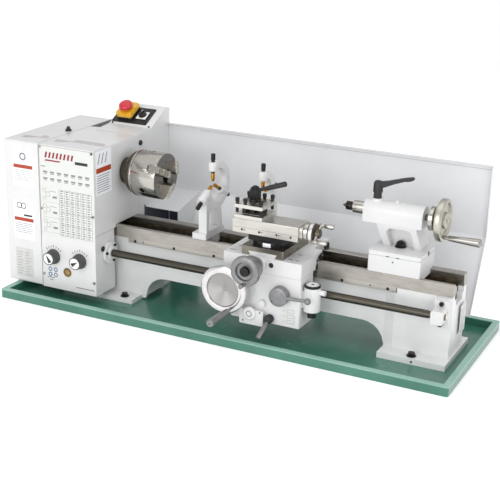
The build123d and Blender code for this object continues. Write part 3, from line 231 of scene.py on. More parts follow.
def turned_steel(name, colour, centre, axis="x", rough=0.2, rings=0.02, wear=0.25, face=1.0):
    """Lathe-turned metal: fine rings round an axis through centre. With face below 1, faces square to the
    axis are darkened as a painted reflection.
    """
    s = Shader(name)
    point = s.place(centre=centre)
    parts = s.add("ShaderNodeSeparateXYZ", {"Vector": point})
    along = parts.outputs[axis.upper()]
    across = [parts.outputs[k] for k in "XYZ" if k != axis.upper()]
    square = s.math("ADD", s.product(across[0], across[0]), s.product(across[1], across[1]))
    radius = s.math("SQRT", square)
    ring_point = s.add("ShaderNodeCombineXYZ", {"X": along, "Y": radius}).outputs[0]
    ringed = s.noise(ring_point, 900.0, 4.0, 0.8)
    blotch = s.noise(point, 40.0, 4.0)
    base = s.shades(ringed, colour, 0.86, 1.07)
    base = s.mix(s.ramp(blotch, 0.5, 0.8, 0.0, wear), base, scaled(colour, 0.6))
    # painted reflection: faces square to the axis darkened by face, standing in for dark surroundings they
    # mirror
    if face < 1:
        facing = s.add("ShaderNodeSeparateXYZ", {"Vector": s.add("ShaderNodeTexCoord").outputs["Normal"]})
        dark_reflection_facing = s.math("ABSOLUTE", facing.outputs[axis.upper()])
        base = s.mix(s.ramp(dark_reflection_facing, 0.8, 0.95), base, scaled(colour, face))
    base = s.mix(s.edges(0.5), base, scaled(colour, 1.4))
    s.set(Base_Color=base, Metallic=1.0, Roughness=s.ramp(ringed, 0.25, 0.75, rough - 0.05, rough + 0.1))
    s.set(Normal=s.bump(ringed, rings * MM))
    return s.material


def black_oxide(name, colour=rgb(34, 34, 35), rough=0.38):
    """Blackened steel with a little oil and edges rubbed back to metal."""
    s = Shader(name)
    cloud = s.noise(s.place(), 120.0, 4.0)
    base = s.shades(cloud, colour, 0.7, 1.5)
    base = s.mix(s.ramp(s.edges(0.6), 0.0, 1.0, 0.0, 0.55), base, rgb(128, 124, 116))
    s.set(Base_Color=base, Metallic=0.6, Roughness=s.ramp(cloud, 0.25, 0.75, rough - 0.08, rough + 0.14))
    s.set(Normal=s.bump(s.noise(s.place(), 900.0, 2.0), 0.015 * MM))
    return s.material


def plastic(name, colour, rough=0.35, grain=0.02, coat=0.0, cloud=0.12):
    """Moulded plastic with a fine grain and a slight sheen change."""
    s = Shader(name)
    mottle = s.noise(s.place(), 60.0, 3.0)
    base = s.shades(mottle, colour, 1 - cloud, 1 + cloud * 0.7)
    s.set(Base_Color=base, Roughness=s.ramp(mottle, 0.3, 0.7, rough - 0.05, rough + 0.08), Coat_Weight=coat)
    s.set(Normal=s.bump(s.noise(s.place(), 1400.0, 2.0), grain * MM))
    return s.material


def cast_alloy(name, colour, rough=0.36):
    """Tumbled cast aluminium: soft mottle, slight pits, brighter rubbed edges, and painted shade darkening
    the grooves.
    """
    s = Shader(name)
    cloud = s.noise(s.place(), 90.0, 4.0)
    pits = s.ramp(s.noise(s.place(), 700.0, 2.0), 0.62, 0.72, 0.0, 0.35)
    base = s.shades(cloud, colour, 0.86, 1.12)
    base = s.mix(pits, base, scaled(colour, 0.6))
    base = s.mix(s.edges(0.9), base, scaled(colour, 1.7))
    # painted shade: ambient occlusion darkens grooves and inner corners
    base = s.mix(s.ramp(s.crevices(4.0), 0.2, 0.8, 0.6, 0.0), base, scaled(colour, 0.3))
    s.set(Base_Color=base, Metallic=0.55, Roughness=s.ramp(cloud, 0.25, 0.75, rough - 0.06, rough + 0.1))
    s.set(Normal=s.bump(s.noise(s.place(), 500.0, 3.0), 0.03 * MM))
    return s.material


def spun_dish(name, colour, centre, axis):
    """Faced aluminium whose turning marks run round the centre, so its highlights fan out from it."""
    s = Shader(name)
    point = s.place(centre=centre)
    distance = s.vector("LENGTH", point, result="Value")
    rings = s.noise(s.add("ShaderNodeCombineXYZ", {"X": distance}).outputs[0], 1400.0, 3.0, 0.8)
    tangent = s.vector("NORMALIZE", s.vector("CROSS_PRODUCT", point, axis))
    base = s.shades(rings, colour, 0.88, 1.06)
    s.set(Base_Color=base, Metallic=1.0, Roughness=0.34, Anisotropic=0.85, Tangent=tangent)
    s.set(Normal=s.bump(rings, 0.006 * MM))
    return s.material


def tray_enamel(name):
    """Glossy green enamel with painted light: darker on the tray's floor as painted shade, paler on the
    flat top flange as a painted highlight.
    """
    s = Shader(name)
    height = s.along("Z")
    cloud = s.ramp(s.noise(s.place(), 6.0, 3.0), 0.3, 0.7)
    # painted shade and painted highlight: one green, darker for the shaded floor, paler for the lit top
    # flange
    shaded_basin = s.mix(cloud, rgb(50, 106, 89), rgb(66, 124, 106))
    lit_rim = s.mix(cloud, rgb(132, 177, 163), rgb(146, 188, 175))
    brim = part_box("chip_tray")[1].z
    base = s.mix(s.ramp(height, brim - 3 * MM, brim - 1 * MM), shaded_basin, lit_rim)
    sheen = s.ramp(cloud, 0.0, 1.0, 0.2, 0.28)
    s.set(Base_Color=base, Roughness=sheen, Coat_Weight=0.3, Coat_Roughness=0.12)
    s.set(Normal=s.bump(s.noise(s.place(), 260.0, 2.0), 0.012 * MM))
    return s.material


def fastener_finish():
    """Black oxide screws; the small ones on the front panel are zinc grey."""
    s = Shader("screw_finish")
    x = s.along("X")
    cloud = s.ramp(s.noise(s.place(), 160.0, 3.0), 0.3, 0.7)
    dark = s.mix(cloud, rgb(20, 20, 20), rgb(48, 46, 43))
    zinc = s.mix(cloud, rgb(150, 151, 152), rgb(186, 187, 188))
    base = s.mix(s.math("LESS_THAN", x, ORIGIN.x - 4 * MM), dark, zinc)
    s.set(Base_Color=base, Metallic=0.5, Roughness=s.ramp(cloud, 0.0, 1.0, 0.3, 0.45))
    return s.material


def print_ink(name, colour):
    """Screen-printed ink, slightly uneven."""
    s = Shader(name)
    cloud = s.noise(s.place(), 300.0, 3.0)
    base = s.mix(s.ramp(cloud, 0.25, 0.75), scaled(colour, 0.8), scaled(colour, 1.25))
    s.set(Base_Color=base, Roughness=0.45)
    return s.material


def amber(name):
    """Oil behind a thick amber window."""
    s = Shader(name)
    cloud = s.noise(s.place(), 80.0, 3.0)
    base = s.mix(s.ramp(cloud, 0.3, 0.7), rgb(74, 48, 16), rgb(176, 136, 62))
    s.set(Base_Color=base, Roughness=0.06, Coat_Weight=1.0, Coat_Roughness=0.03)
    return s.material


WHITE = paint("white_enamel", rgb(219, 219, 219), swell=0.0)
CAST_WHITE = paint("cast_white_enamel", rgb(217, 217, 217), rough=0.38, swell=0.22)
SHEET_GREY = paint("sheet_grey_enamel", rgb(222, 223, 225), rough=0.42, coat=0.1)
GREEN = tray_enamel("green_enamel")
# painted shade: dark navy for plates set where openings show only shadow
SHADE_NAVY = paint("navy_interior", rgb(70, 70, 86), rough=0.5, coat=0.0)
MOTOR_PAINT = paint("motor_enamel", rgb(52, 54, 58), rough=0.45)
WAYS = ground_steel("ground_ways", rgb(186, 182, 174))
SLIDE_STEEL = ground_steel("ground_slide", rgb(204, 201, 194), lay=(160.0, 5.0, 160.0))
CROSS_STEEL = ground_steel("ground_cross_slide", rgb(136, 131, 120), lay=(160.0, 5.0, 160.0), rough=0.34)
SPINDLE_AXIS = at(0, 0, CENTRE)
# face=0.4 darkens the chuck's front and back faces, a painted reflection of dark surroundings
CHUCK = turned_steel("turned_chuck", rgb(190, 187, 179), SPINDLE_AXIS, rough=0.15, face=0.4)
QUILL = turned_steel("turned_quill", rgb(188, 185, 178), SPINDLE_AXIS, rough=0.2)
DARK_TURNED = turned_steel("dark_centre", rgb(96, 90, 78), SPINDLE_AXIS, rough=0.26)
BLACK = black_oxide("black_oxide")
BLACK_PLASTIC = plastic("black_plastic", rgb(30, 30, 31), rough=0.42)
CHARCOAL = plastic("charcoal_plastic", rgb(74, 74, 76), rough=0.5, grain=0.03)
WHITE_PLASTIC = plastic("white_plastic", rgb(240, 240, 238), rough=0.3)
YELLOW = plastic("yellow_plastic", rgb(232, 176, 34), rough=0.28, coat=0.4)
RED = plastic("red_plastic", rgb(202, 38, 52), rough=0.3, coat=0.3)
RUBBER = plastic("belt_rubber", rgb(24, 24, 24), rough=0.75, grain=0.05)
SCREW_STEEL = turned_steel("leadscrew_steel", rgb(92, 88, 80), at(0, *pivot("leadscrew_spin").yz),
    rough=0.3)
IRON = ground_steel("machined_iron", rgb(112, 110, 106), rough=0.4, lay=(90.0, 90.0, 90.0))
BRASS = turned_steel("brass_tip", rgb(200, 146, 56), SPINDLE_AXIS, rough=0.24)
SATIN = cast_alloy("satin_grey_alloy", rgb(134, 134, 135))
INK = print_ink("grey_ink", rgb(128, 130, 132))
BROWN_INK = print_ink("brown_ink", rgb(120, 84, 76))
DARK_INK = print_ink("dark_ink", rgb(34, 36, 38))
RED_INK = print_ink("brick_ink", rgb(168, 62, 32))
MAROON = print_ink("maroon_ink", rgb(140, 24, 44))
BLUE_INK = print_ink("blue_ink", rgb(62, 96, 140))
LABEL = plastic("label_film", rgb(240, 242, 246), rough=0.3, grain=0.005, cloud=0.02)
CHART_FILM = plastic("chart_film", rgb(214, 216, 212), rough=0.32, grain=0.005, cloud=0.02)
GREY_FILM = plastic("grey_film", rgb(204, 204, 202), rough=0.3, grain=0.005, cloud=0.02)
JAW = ground_steel("jaw_steel", rgb(206, 202, 192), rough=0.2, lay=(60.0, 60.0, 60.0), stain=0.3)
AMBER = amber("amber_window")
BRASS_RIM = turned_steel("sight_rim_brass", rgb(150, 124, 78), at(-93, 0, -126), axis="y", rough=0.28)
SEAM_SHADE = plastic("seam_shadow", rgb(120, 120, 121), rough=0.7)
CREAM = plastic("cream_plastic", rgb(226, 224, 214), rough=0.4)
SCREW_GREY = plastic("grey_screw", rgb(120, 122, 124), rough=0.4)
RIM_WHITE = turned_steel("bright_rim", rgb(222, 219, 219), pivot_point("carriage_wheel_turn"), axis="y",
    rough=0.2)
DISH = spun_dish("spun_dish", rgb(168, 166, 165), pivot_point("carriage_wheel_turn"), (0.0, 1.0, 0.0))
WHEEL_CHROME = turned_steel("wheel_chrome", rgb(190, 187, 176), SPINDLE_AXIS, rough=0.3)
GRIP_STEEL = turned_steel("grip_steel", rgb(168, 166, 160), pivot_point("tailstock_wheel_turn"), rough=0.24)

# The record's slot that a piece in each material would usually take; finish looks it up but gives the piece
# no slot.
USUAL_SLOT = {material.name: slot for slot, materials in {
    "painted_white": (CHART_FILM, INK, MAROON, BROWN_INK, GREY_FILM, LABEL, RED_INK, BLUE_INK, CREAM,
        WHITE, RIM_WHITE, CAST_WHITE, SEAM_SHADE),
    "black_oxide": (DARK_INK, BLACK, SCREW_GREY),
    "black_plastic": (BLACK_PLASTIC, CHARCOAL, WHITE_PLASTIC),
    "sheet_grey": (SHADE_NAVY,),
    "brass": (BRASS_RIM, BRASS),
    "amber_glass": (AMBER,),
    "red_plastic": (RED,),
    "dark_steel": (SCREW_STEEL, DARK_TURNED, IRON),
    "chrome_steel": (DISH, QUILL, WHEEL_CHROME, GRIP_STEEL),
    "grey_alloy": (SATIN,),
    "belt_rubber": (RUBBER,),
}.items() for material in materials}


# ------------------------------------------------------------------------------------ mesh tools
SHARP = 32.0    # degrees between faces from which an edge shows as sharp


def close(bm, first, last):
    """A closed body between two matching rings of points."""
    near, far = ([bm.verts.new(point) for point in points] for points in (first, last))
    bm.faces.new(near)
    bm.faces.new(far[::-1])
    for k in range(-1, len(near) - 1):
        bm.faces.new((near[k], far[k], far[k + 1], near[k + 1]))


def prism(bm, outline, axis, start, end):
    """Extrudes a flat outline of (u, v) points along x, y or z."""
    place = {
        "x": lambda a, u, v: at(a, u, v),
        "y": lambda a, u, v: at(u, a, v),
        "z": lambda a, u, v: at(u, v, a),
    }[axis]
    close(bm, [place(start, u, v) for u, v in outline], [place(end, u, v) for u, v in outline])


def block(bm, x0, x1, y0, y1, z0, z1):
    prism(bm, [(x0, y0), (x1, y0), (x1, y1), (x0, y1)], "z", z0, z1)


def rounded(x0, x1, y0, y1, r, steps=5):
    """Outline of a rectangle with round corners."""
    points = []
    corners = ((x1 - r, y0 + r, -90), (x1 - r, y1 - r, 0), (x0 + r, y1 - r, 90), (x0 + r, y0 + r, 180))
    for cx, cy, turn in corners:
        for k in range(steps + 1):
            a = math.radians(turn + 90 * k / steps)
            points.append((cx + r * math.cos(a), cy + r * math.sin(a)))
    return points


def axes(direction):
    """A direction as a unit vector, and two more square to it."""
    along = Vector(direction).normalized()
    side = along.cross(Vector(UP if abs(along.z) < 0.9 else RIGHT)).normalized()
    return along, side, along.cross(side)


def turned(bm, profile, base, direction, count=64, flutes=None):
    """A turned body: profile is (distance along, radius) from base along direction. flutes is
    (number, depth, from, to) and cuts shallow grooves along that stretch."""
    along, side, other = axes(direction)
    base = Vector(base)
    rings = []
    for distance, radius in profile:
        centre = base + along * distance
        if radius < 1e-4:
            rings.append([bm.verts.new(at(*centre))])
            continue
        ring = []
        for k in range(count):
            a = 2 * math.pi * k / count
            r = radius
            if flutes and flutes[2] <= distance <= flutes[3]:
                r -= flutes[1] * (0.5 - 0.5 * math.cos(flutes[0] * a))
            ring.append(bm.verts.new(at(*(centre + (side * math.cos(a) + other * math.sin(a)) * r))))
        rings.append(ring)
    for first, second in zip(rings, rings[1:]):
        for k in range(max(len(first), len(second))):
            n = (k + 1) % count
            corners = [first[k % len(first)], first[n % len(first)], second[n % len(second)],
                second[k % len(second)]]
            corners = [v for i, v in enumerate(corners) if v not in corners[:i]]
            if len(corners) > 2:
                bm.faces.new(corners)
    for ring in (rings[0], rings[-1]):
        if len(ring) > 1:
            bm.faces.new(ring)


def bar(bm, start, end, r0, r1=None, count=32, soft=0.25):
    """A round bar from start to end with softened ends."""
    start, end = Vector(start), Vector(end)
    length = (end - start).length
    r1 = r0 if r1 is None else r1
    profile = [(0, 0), (0, r0 * 0.7), (r0 * soft, r0), (length - r1 * soft, r1), (length, r1 * 0.7),
        (length, 0)]
    turned(bm, profile, start, end - start, count)


def cap_screw(bm, centre, direction, r, height=None):
    """A socket head: chamfered cylinder with a deep hexagon socket."""
    height = height or r
    head = [(-0.2, r), (height * 0.82, r), (height, r * 0.86), (height, r * 0.56)]
    socket = [(height, r * 0.56), (height * 0.35, r * 0.5), (height * 0.35, 0)]
    turned(bm, head, centre, direction, 24)
    turned(bm, socket, centre, direction, 6)


def soften(piece, width, segments, angle):
    edge = piece.modifiers.new("edge", "BEVEL")
    edge.width = width * MM
    edge.segments = segments
    edge.limit_method = "ANGLE"
    edge.angle_limit = math.radians(angle)
    edge.harden_normals = True


def finish(bm, name, body, material, slot=None, replaces=(), bevel=0.0, segments=2):
    """Turns a bmesh into a finished piece that rides on a body."""
    bmesh.ops.recalc_face_normals(bm, faces=bm.faces)
    mesh = bpy.data.meshes.new(name)
    bm.to_mesh(mesh)
    bm.free()
    mesh.materials.append(material)
    mesh.shade_smooth()
    mesh.set_sharp_from_angle(angle=math.radians(SHARP))
    piece = bpy.data.objects.new(name, mesh)
    bpy.context.scene.collection.objects.link(piece)
    if bevel:
        soften(piece, bevel, segments, SHARP)
    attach(piece, body)
    slot or USUAL_SLOT[material.name]
    if replaces:
        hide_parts(*replaces)


def make(name, body, material, tool, *shape, **rest):
    """One finished piece from one call of a mesh tool."""
    bm = bmesh.new()
    tool(bm, *shape)
    finish(bm, name, body, material, **rest)


def dress(node, material, round_edges=0.0):
    """Gives a CAD node its material and, where it is a casting or a plate, rounded edges."""
    piece = frame["nodes"][node]
    if not piece.material_slots:
        piece.data.materials.append(material)
    for slot in piece.material_slots:
        slot.link = "OBJECT"
        slot.material = material
    if round_edges:
        weld = piece.modifiers.new("weld", "WELD")
        weld.merge_threshold = 0.002 * MM
        soften(piece, round_edges, 3, 30)


# ------------------------------------------------------------------------------- the CAD's nodes
def dress_cad():
    for node in ("headstock_casting", "gearbox_housing", "front_panel", "end_cover", "rear_cover",
            "control_box"):
        dress(node, WHITE, 1.2)
    for node in ("saddle", "apron", "tailstock_base", "leadscrew_bracket"):
        dress(node, CAST_WHITE, 1.4)
    for node in ("steady_rest", "follow_rest", "tailstock_body"):
        dress(node, CAST_WHITE, 1.8)
    dress("leadscrew_flange", WHITE, 0.8)
    dress("bed", bed_finish(), 1.2)
    dress("chip_tray", GREEN, 1.5)
    dress("backsplash", SHEET_GREY, 0.5)
    dress("gear_rack", WAYS, 0.25)
    dress("cross_slide", CROSS_STEEL, 0.6)
    dress("swivel_base", BLACK, 0.6)
    dress("compound_slide", SLIDE_STEEL, 0.6)
    dress("tool_post", post_finish(), 0.5)
    dress("chuck_body", CHUCK, 0.6)
    for node in ("chuck_backplate", "spindle"):
        dress(node, DARK_TURNED, 0.6)
    for number in (1, 2, 3):
        dress(f"chuck_jaw_{number}", JAW, 0.4)
    dress("tailstock_quill", quill_finish(), 0.3)
    dress("motor", MOTOR_PAINT, 0.8)
    for node in ("spindle_pulley", "motor_pulley", "idler_gear", "spindle_bearings"):
        dress(node, IRON, 0.3)
    dress("drive_belt", RUBBER, 0.5)
    dress("switch_plate", BLACK_PLASTIC, 0.5)
    dress("stop_flap", YELLOW, 1.2)
    dress("direction_switch", BLACK_PLASTIC, 0.8)
    dress("leadscrew", SCREW_STEEL)
    dress("fasteners", fastener_finish(), 0.3)


# The bed's section: depth of the ground ways, half the gap between them, where raw metal starts and
# ends below the way tops, and the thickness of the end wall.
WAY_DEPTH, WAY_INNER, RAW_TOP, RAW_BOTTOM, END_WALL = (n * MM for n in (32.4, 38.5, 12.5, 128.0, 21.0))


def bed_finish():
    """The bed: painted walls and feet, ground ways along the top, raw oiled metal between them."""
    s = Shader("bed_casting")
    x, y, z = (s.along(axis) for axis in "XYZ")
    upper = s.math("GREATER_THAN", z, ORIGIN.z - WAY_DEPTH)
    off_centre = s.math("ABSOLUTE", s.math("SUBTRACT", y, ORIGIN.y))
    between = s.math("LESS_THAN", off_centre, WAY_INNER)
    below_top = s.math("LESS_THAN", z, ORIGIN.z - RAW_TOP)
    not_end = s.math("LESS_THAN", x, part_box("bed")[1].x - END_WALL)
    above_floor = s.math("GREATER_THAN", z, ORIGIN.z - RAW_BOTTOM)
    raw = s.product(s.product(between, below_top), s.product(not_end, above_floor))
    end_face = s.math("GREATER_THAN", x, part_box("bed")[1].x - 1.6 * MM)
    steel = s.product(upper, s.math("SUBTRACT", 1.0, end_face))
    plain = s.place()
    streaks = s.noise(s.place((4.0, 160.0, 160.0)), 14.0, 6.0, 0.7)
    broad = s.noise(s.place((2.0, 6.0, 6.0)), 9.0, 4.0)
    way = s.mix(s.ramp(streaks, 0.3, 0.7), rgb(146, 141, 133), rgb(192, 188, 182))
    way = s.mix(s.ramp(broad, 0.45, 0.75, 0.0, 0.45), way, rgb(128, 122, 112))
    rough_cast = s.mix(s.ramp(s.noise(plain, 60.0), 0.3, 0.7), rgb(62, 55, 42), rgb(112, 102, 82))
    white = s.mix(s.ramp(s.noise(plain, 14.0, 4.0), 0.3, 0.7), rgb(222, 222, 222), rgb(231, 231, 231))
    # soiling and painted shade: ambient occlusion darkens the white paint's seams and inner corners towards
    # brown grey
    white = s.mix(s.ramp(s.crevices(), 0.15, 0.8, 0.12, 0.0), white, rgb(92, 84, 70))
    colour = s.mix(raw, s.mix(steel, white, way), rough_cast)
    metal = s.product(steel, s.math("SUBTRACT", 1.0, s.product(raw, 0.5)))
    scuff = s.ramp(streaks, 0.25, 0.75, 0.26, 0.42)
    s.set(Base_Color=colour, Metallic=metal, Roughness=scuff)
    peel = s.bump(s.noise(plain, 420.0, 2.0), 0.03 * MM)
    s.set(Normal=s.bump(s.noise(plain, 55.0, 3.0), 0.12 * MM, under=peel))
    return s.material


def quill_finish():
    """Bright ground quill with a dark centre in its nose."""
    s = Shader("quill_steel")
    x = s.along("X")
    cloud = s.ramp(s.noise(s.place((160.0, 4.0, 4.0)), 9.0, 4.0), 0.3, 0.7)
    start, nose_length, tip_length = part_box("tailstock_quill")[0].x, 31.6 * MM, 12 * MM
    nose = s.math("LESS_THAN", x, start + nose_length)
    tip = s.math("LESS_THAN", x, start + tip_length)
    bright = s.mix(cloud, rgb(160, 157, 150), rgb(204, 201, 194))
    blackened = s.mix(cloud, rgb(34, 33, 31), rgb(60, 58, 54))
    bare = s.mix(cloud, rgb(120, 117, 110), rgb(156, 153, 146))
    dark = s.mix(tip, blackened, bare)
    s.set(Base_Color=s.mix(nose, bright, dark), Metallic=1.0, Roughness=s.ramp(cloud, 0.0, 1.0, 0.16, 0.28))
    return s.material


def post_finish():
    """Tool post: bright ground plates above and below a blackened core."""
    s = Shader("tool_post_steel")
    foot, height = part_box("tool_post")[0].z, s.along("Z")
    lower_top, upper_foot, upper_top = 9.3 * MM, 26.7 * MM, 36.3 * MM
    lower = s.math("LESS_THAN", height, foot + lower_top)
    upper = s.math("GREATER_THAN", height, foot + upper_foot)
    hub = s.math("GREATER_THAN", height, foot + upper_top)
    bright = s.math("SUBTRACT", s.math("ADD", lower, upper), hub)
    streaks = s.noise(s.place((160.0, 5.0, 160.0)), 14.0, 6.0, 0.7)
    steel = s.mix(s.ramp(streaks, 0.3, 0.7), rgb(186, 183, 176), rgb(220, 218, 212))
    dark = s.mix(s.ramp(s.noise(s.place(), 120.0, 4.0), 0.3, 0.7), rgb(22, 21, 20), rgb(58, 55, 50))
    colour = s.mix(bright, dark, steel)
    colour = s.mix(s.ramp(s.edges(0.5), 0.0, 1.0, 0.0, 0.6), colour, rgb(190, 186, 178))
    s.set(Base_Color=colour, Metallic=0.9, Roughness=s.ramp(streaks, 0.25, 0.75, 0.24, 0.38))
    s.set(Normal=s.bump(streaks, 0.02 * MM))
    return s.material


# ------------------------------------------------------------------------------ headstock details
FILM = 0.35     # how far a printed film stands off its face


def plate_front(bm, x0, x1, z0, z1, face, thick=FILM, r=0.0):
    """A thin plate on a face that looks along -Y."""
    outline = rounded(x0, x1, z0, z1, r, 3) if r else [(x0, z0), (x1, z0), (x1, z1), (x0, z1)]
    prism(bm, outline, "y", face - thick, face)


def plate_right(bm, y0, y1, z0, z1, face, thick=FILM):
    """A thin plate on a face that looks along +X."""
    prism(bm, [(y0, z0), (y1, z0), (y1, z1), (y0, z1)], "x", face, face + thick)


def plate_top(bm, x0, x1, y0, y1, face, thick=FILM):
    block(bm, x0, x1, y0, y1, face, face + thick)


def headstock_prints():
    """Chart on the front panel: a film, ruled tables, rows of short bars, gear diagrams, a mark."""
    low, high = span("front_panel")
    face = low.y
    left, right, top = low.x + 1.5, high.x - 2.5, high.z - 3.0
    bottom = high.z - 255.0
    make("chart_film", "machine", CHART_FILM, plate_front, left, right, bottom, top, face, 0.3, 2.0)
    ink = bmesh.new()
    over = face - 0.3

    def rule(x0, x1, z0, z1, thick=0.1):
        plate_front(ink, x0, x1, z0, z1, over, thick)

    # speed table: seven columns of short bars in two rows
    first, pitch = left + 12.0, (right - left - 14.0) / 7
    for row, z in enumerate((top - 74.0, top - 92.0)):
        for column in range(7):
            x = first + column * pitch
            rule(x, x + pitch * 0.6, z, z + 5.0)
            rule(x + 1.0, x + pitch * 0.5, z - 3.6, z - 1.6)
    rule(left + 4, left + 20, top - 58, top - 55.5)
    # thread table: ruled columns filled with small bars
    table_top, table_bottom = top - 116.0, bottom + 7.0
    edge = left + 62.0
    columns = 6
    width = (right - 6.0 - edge) / columns
    for column in range(columns + 1):
        rule(edge + column * width - 0.5, edge + column * width + 0.5, table_bottom, table_top)
    rows = 20
    step = (table_top - table_bottom) / rows
    for row in range(rows + 1):
        if row % 5 == 0:
            z = table_bottom + row * step
            rule(edge, edge + columns * width, z - 0.3, z + 0.3)
    for column in range(columns):
        for row in range(rows):
            x = edge + column * width + width * 0.22
            z = table_bottom + row * step + step * 0.3
            long = width * (0.4 + 0.16 * ((row * 5 + column * 3) % 3) / 2)
            rule(x, x + long, z, z + step * 0.42, 0.08)
    # three gear diagrams down the left of the table
    for index in range(3):
        z = table_top - 8.0 - index * 43.0
        for x, dz, r in ((left + 14.0, 0.0, 6.0), (left + 25.0, -10.0, 7.0), (left + 14.0, -21.0, 5.0)):
            ring(ink, x, z + dz, r, r - 0.9, over)
        rule(left + 30, left + 52, z - 1.0, z + 0.2)
        rule(left + 40, left + 54, z - 19.0, z - 13.0)
        rule(left + 4, edge, z - 31.5, z - 31.0, 0.06)
    finish(ink, "chart_print", "machine", INK)
    # eight equal bars over a line, where a badge would be
    mark = bmesh.new()
    bars = [(18.0 + 12.0 * k, 24.0 + 12.0 * k, -32.0, -16.0) for k in range(8)]
    lean = 4
    for x0, x1, z0, z1 in bars + [(18.0, 66.0, -41.0, -37.0)]:
        corners = ((x0, z0), (x1, z0), (x1 + lean, z1), (x0 + lean, z1))
        prism(mark, [(left + x, top + z) for x, z in corners], "y", over - 0.12, over)
    finish(mark, "panel_mark", "machine", MAROON)
    border = bmesh.new()
    plate_front(border, left - 0.2, left + 0.7, bottom, top, over, 0.06)
    plate_front(border, left, right, top - 0.7, top + 0.1, over, 0.06)
    finish(border, "panel_border", "machine", BROWN_INK)
    make("panel_line", "machine", DARK_INK, plate_front, left + 116, left + 156, top - 40.0, top - 32.0,
        over, 0.1, slot="painted_white")


def ring(bm, x, z, outer, inner, face, thick=0.1, count=20):
    """A flat printed ring on a face that looks along -Y."""
    for k in range(count):
        a, b = 2 * math.pi * k / count, 2 * math.pi * (k + 1) / count
        corners = ((inner, a), (outer, a), (outer, b), (inner, b))
        outline = [(x + r * math.cos(t), z + r * math.sin(t)) for r, t in corners]
        prism(bm, outline, "y", face - thick, face)


def label_front(name, x0, x1, z0, z1, face, picture):
    """A plain label on the end cover: film, one colour band, bars for lines, a plain picture above."""
    body, lines = "end_cover", 6
    make(f"{name}_film", body, LABEL, plate_front, x0, x1, z0, z1, face, 0.25, 1.2)
    over = face - 0.25
    middle = z0 + (z1 - z0) * 0.52
    make(f"{name}_band", body, RED_INK, plate_front, x0 + 2, x1 - 2, middle - 5, middle + 5, over, 0.1)
    ink = bmesh.new()
    for k in range(lines):
        z = middle - 11 - k * 5.2
        if z > z0 + 2:
            plate_front(ink, x0 + 4, x1 - 5 - 4 * (k % 3), z - 1.1, z, over, 0.08)
    if picture == "frame":
        plate_front(ink, x0 + 6, x1 - 6, z1 - 7.0, z1 - 6.2, over, 0.08)
        plate_front(ink, x0 + 6, x0 + 6.8, middle + 9, z1 - 6.2, over, 0.08)
        plate_front(ink, x1 - 6.8, x1 - 6, middle + 9, z1 - 6.2, over, 0.08)
        ring(ink, (x0 + x1) / 2, (middle + z1) / 2 + 2, 11.0, 6.5, over)
    if picture == "rings":
        ring(ink, x0 + 20, z1 - 14, 9.0, 6.8, over)
        ring(ink, x0 + 34, z1 - 14, 9.0, 6.8, over)
        plate_front(ink, x0 + 34, x1 - 6, middle + 10, middle + 15, over, 0.08)
    finish(ink, f"{name}_print", body, INK if picture == "frame" else DARK_INK, "painted_white")


def cover_labels():
    low, high = span("end_cover")
    face, left, top = low.y, low.x, high.z
    label_front("cover_label_upper", left + 27, left + 94, top - 127, top - 19, face, "frame")
    label_front("cover_label_lower", left + 23, left + 91, top - 279, top - 168, face, "rings")
    x0, x1, z0, z1 = left + 24, left + 83, top - 389, top - 305
    make("cover_plate_film", "end_cover", GREY_FILM, plate_front, x0, x1, z0, z1, face, 0.25, 1.2)
    ink = bmesh.new()
    for row in range(9):
        for column in range(2):
            x = x0 + 5 + column * 27
            z = z1 - 12 - row * 8
            plate_front(ink, x, x + 20 - 3 * ((row + column) % 3), z - 1.2, z, face - 0.25, 0.08)
    finish(ink, "cover_plate_print", "end_cover", INK)
    # thin printed lines across both tops
    for name, node, body, x0, x1, y0 in (
        ("cover_top", "end_cover", "end_cover", 22.0, 100.0, 60.0),
        ("head_top", "front_panel", "machine", 14.0, 168.0, 62.0),
    ):
        a, b = span(node)
        z = b.z if node == "end_cover" else span("headstock_casting")[1].z
        make(f"{name}_line", body, MAROON, plate_top, a.x + x0, a.x + x1, a.y + y0, a.y + y0 + 2.2, z, 0.12)
        grey = bmesh.new()
        for k in range(3):
            plate_top(grey, a.x + x0 + 4, a.x + x0 + 46 - 9 * k, a.y + y0 - 7 - 6 * k,
                a.y + y0 - 4.6 - 6 * k, z, 0.1)
            plate_top(grey, a.x + x0 + 50, a.x + x1 - 6 * k, a.y + y0 + 8 + 7 * k, a.y + y0 + 10.5 + 7 * k,
                z, 0.1)
        finish(grey, f"{name}_bars", body, INK)


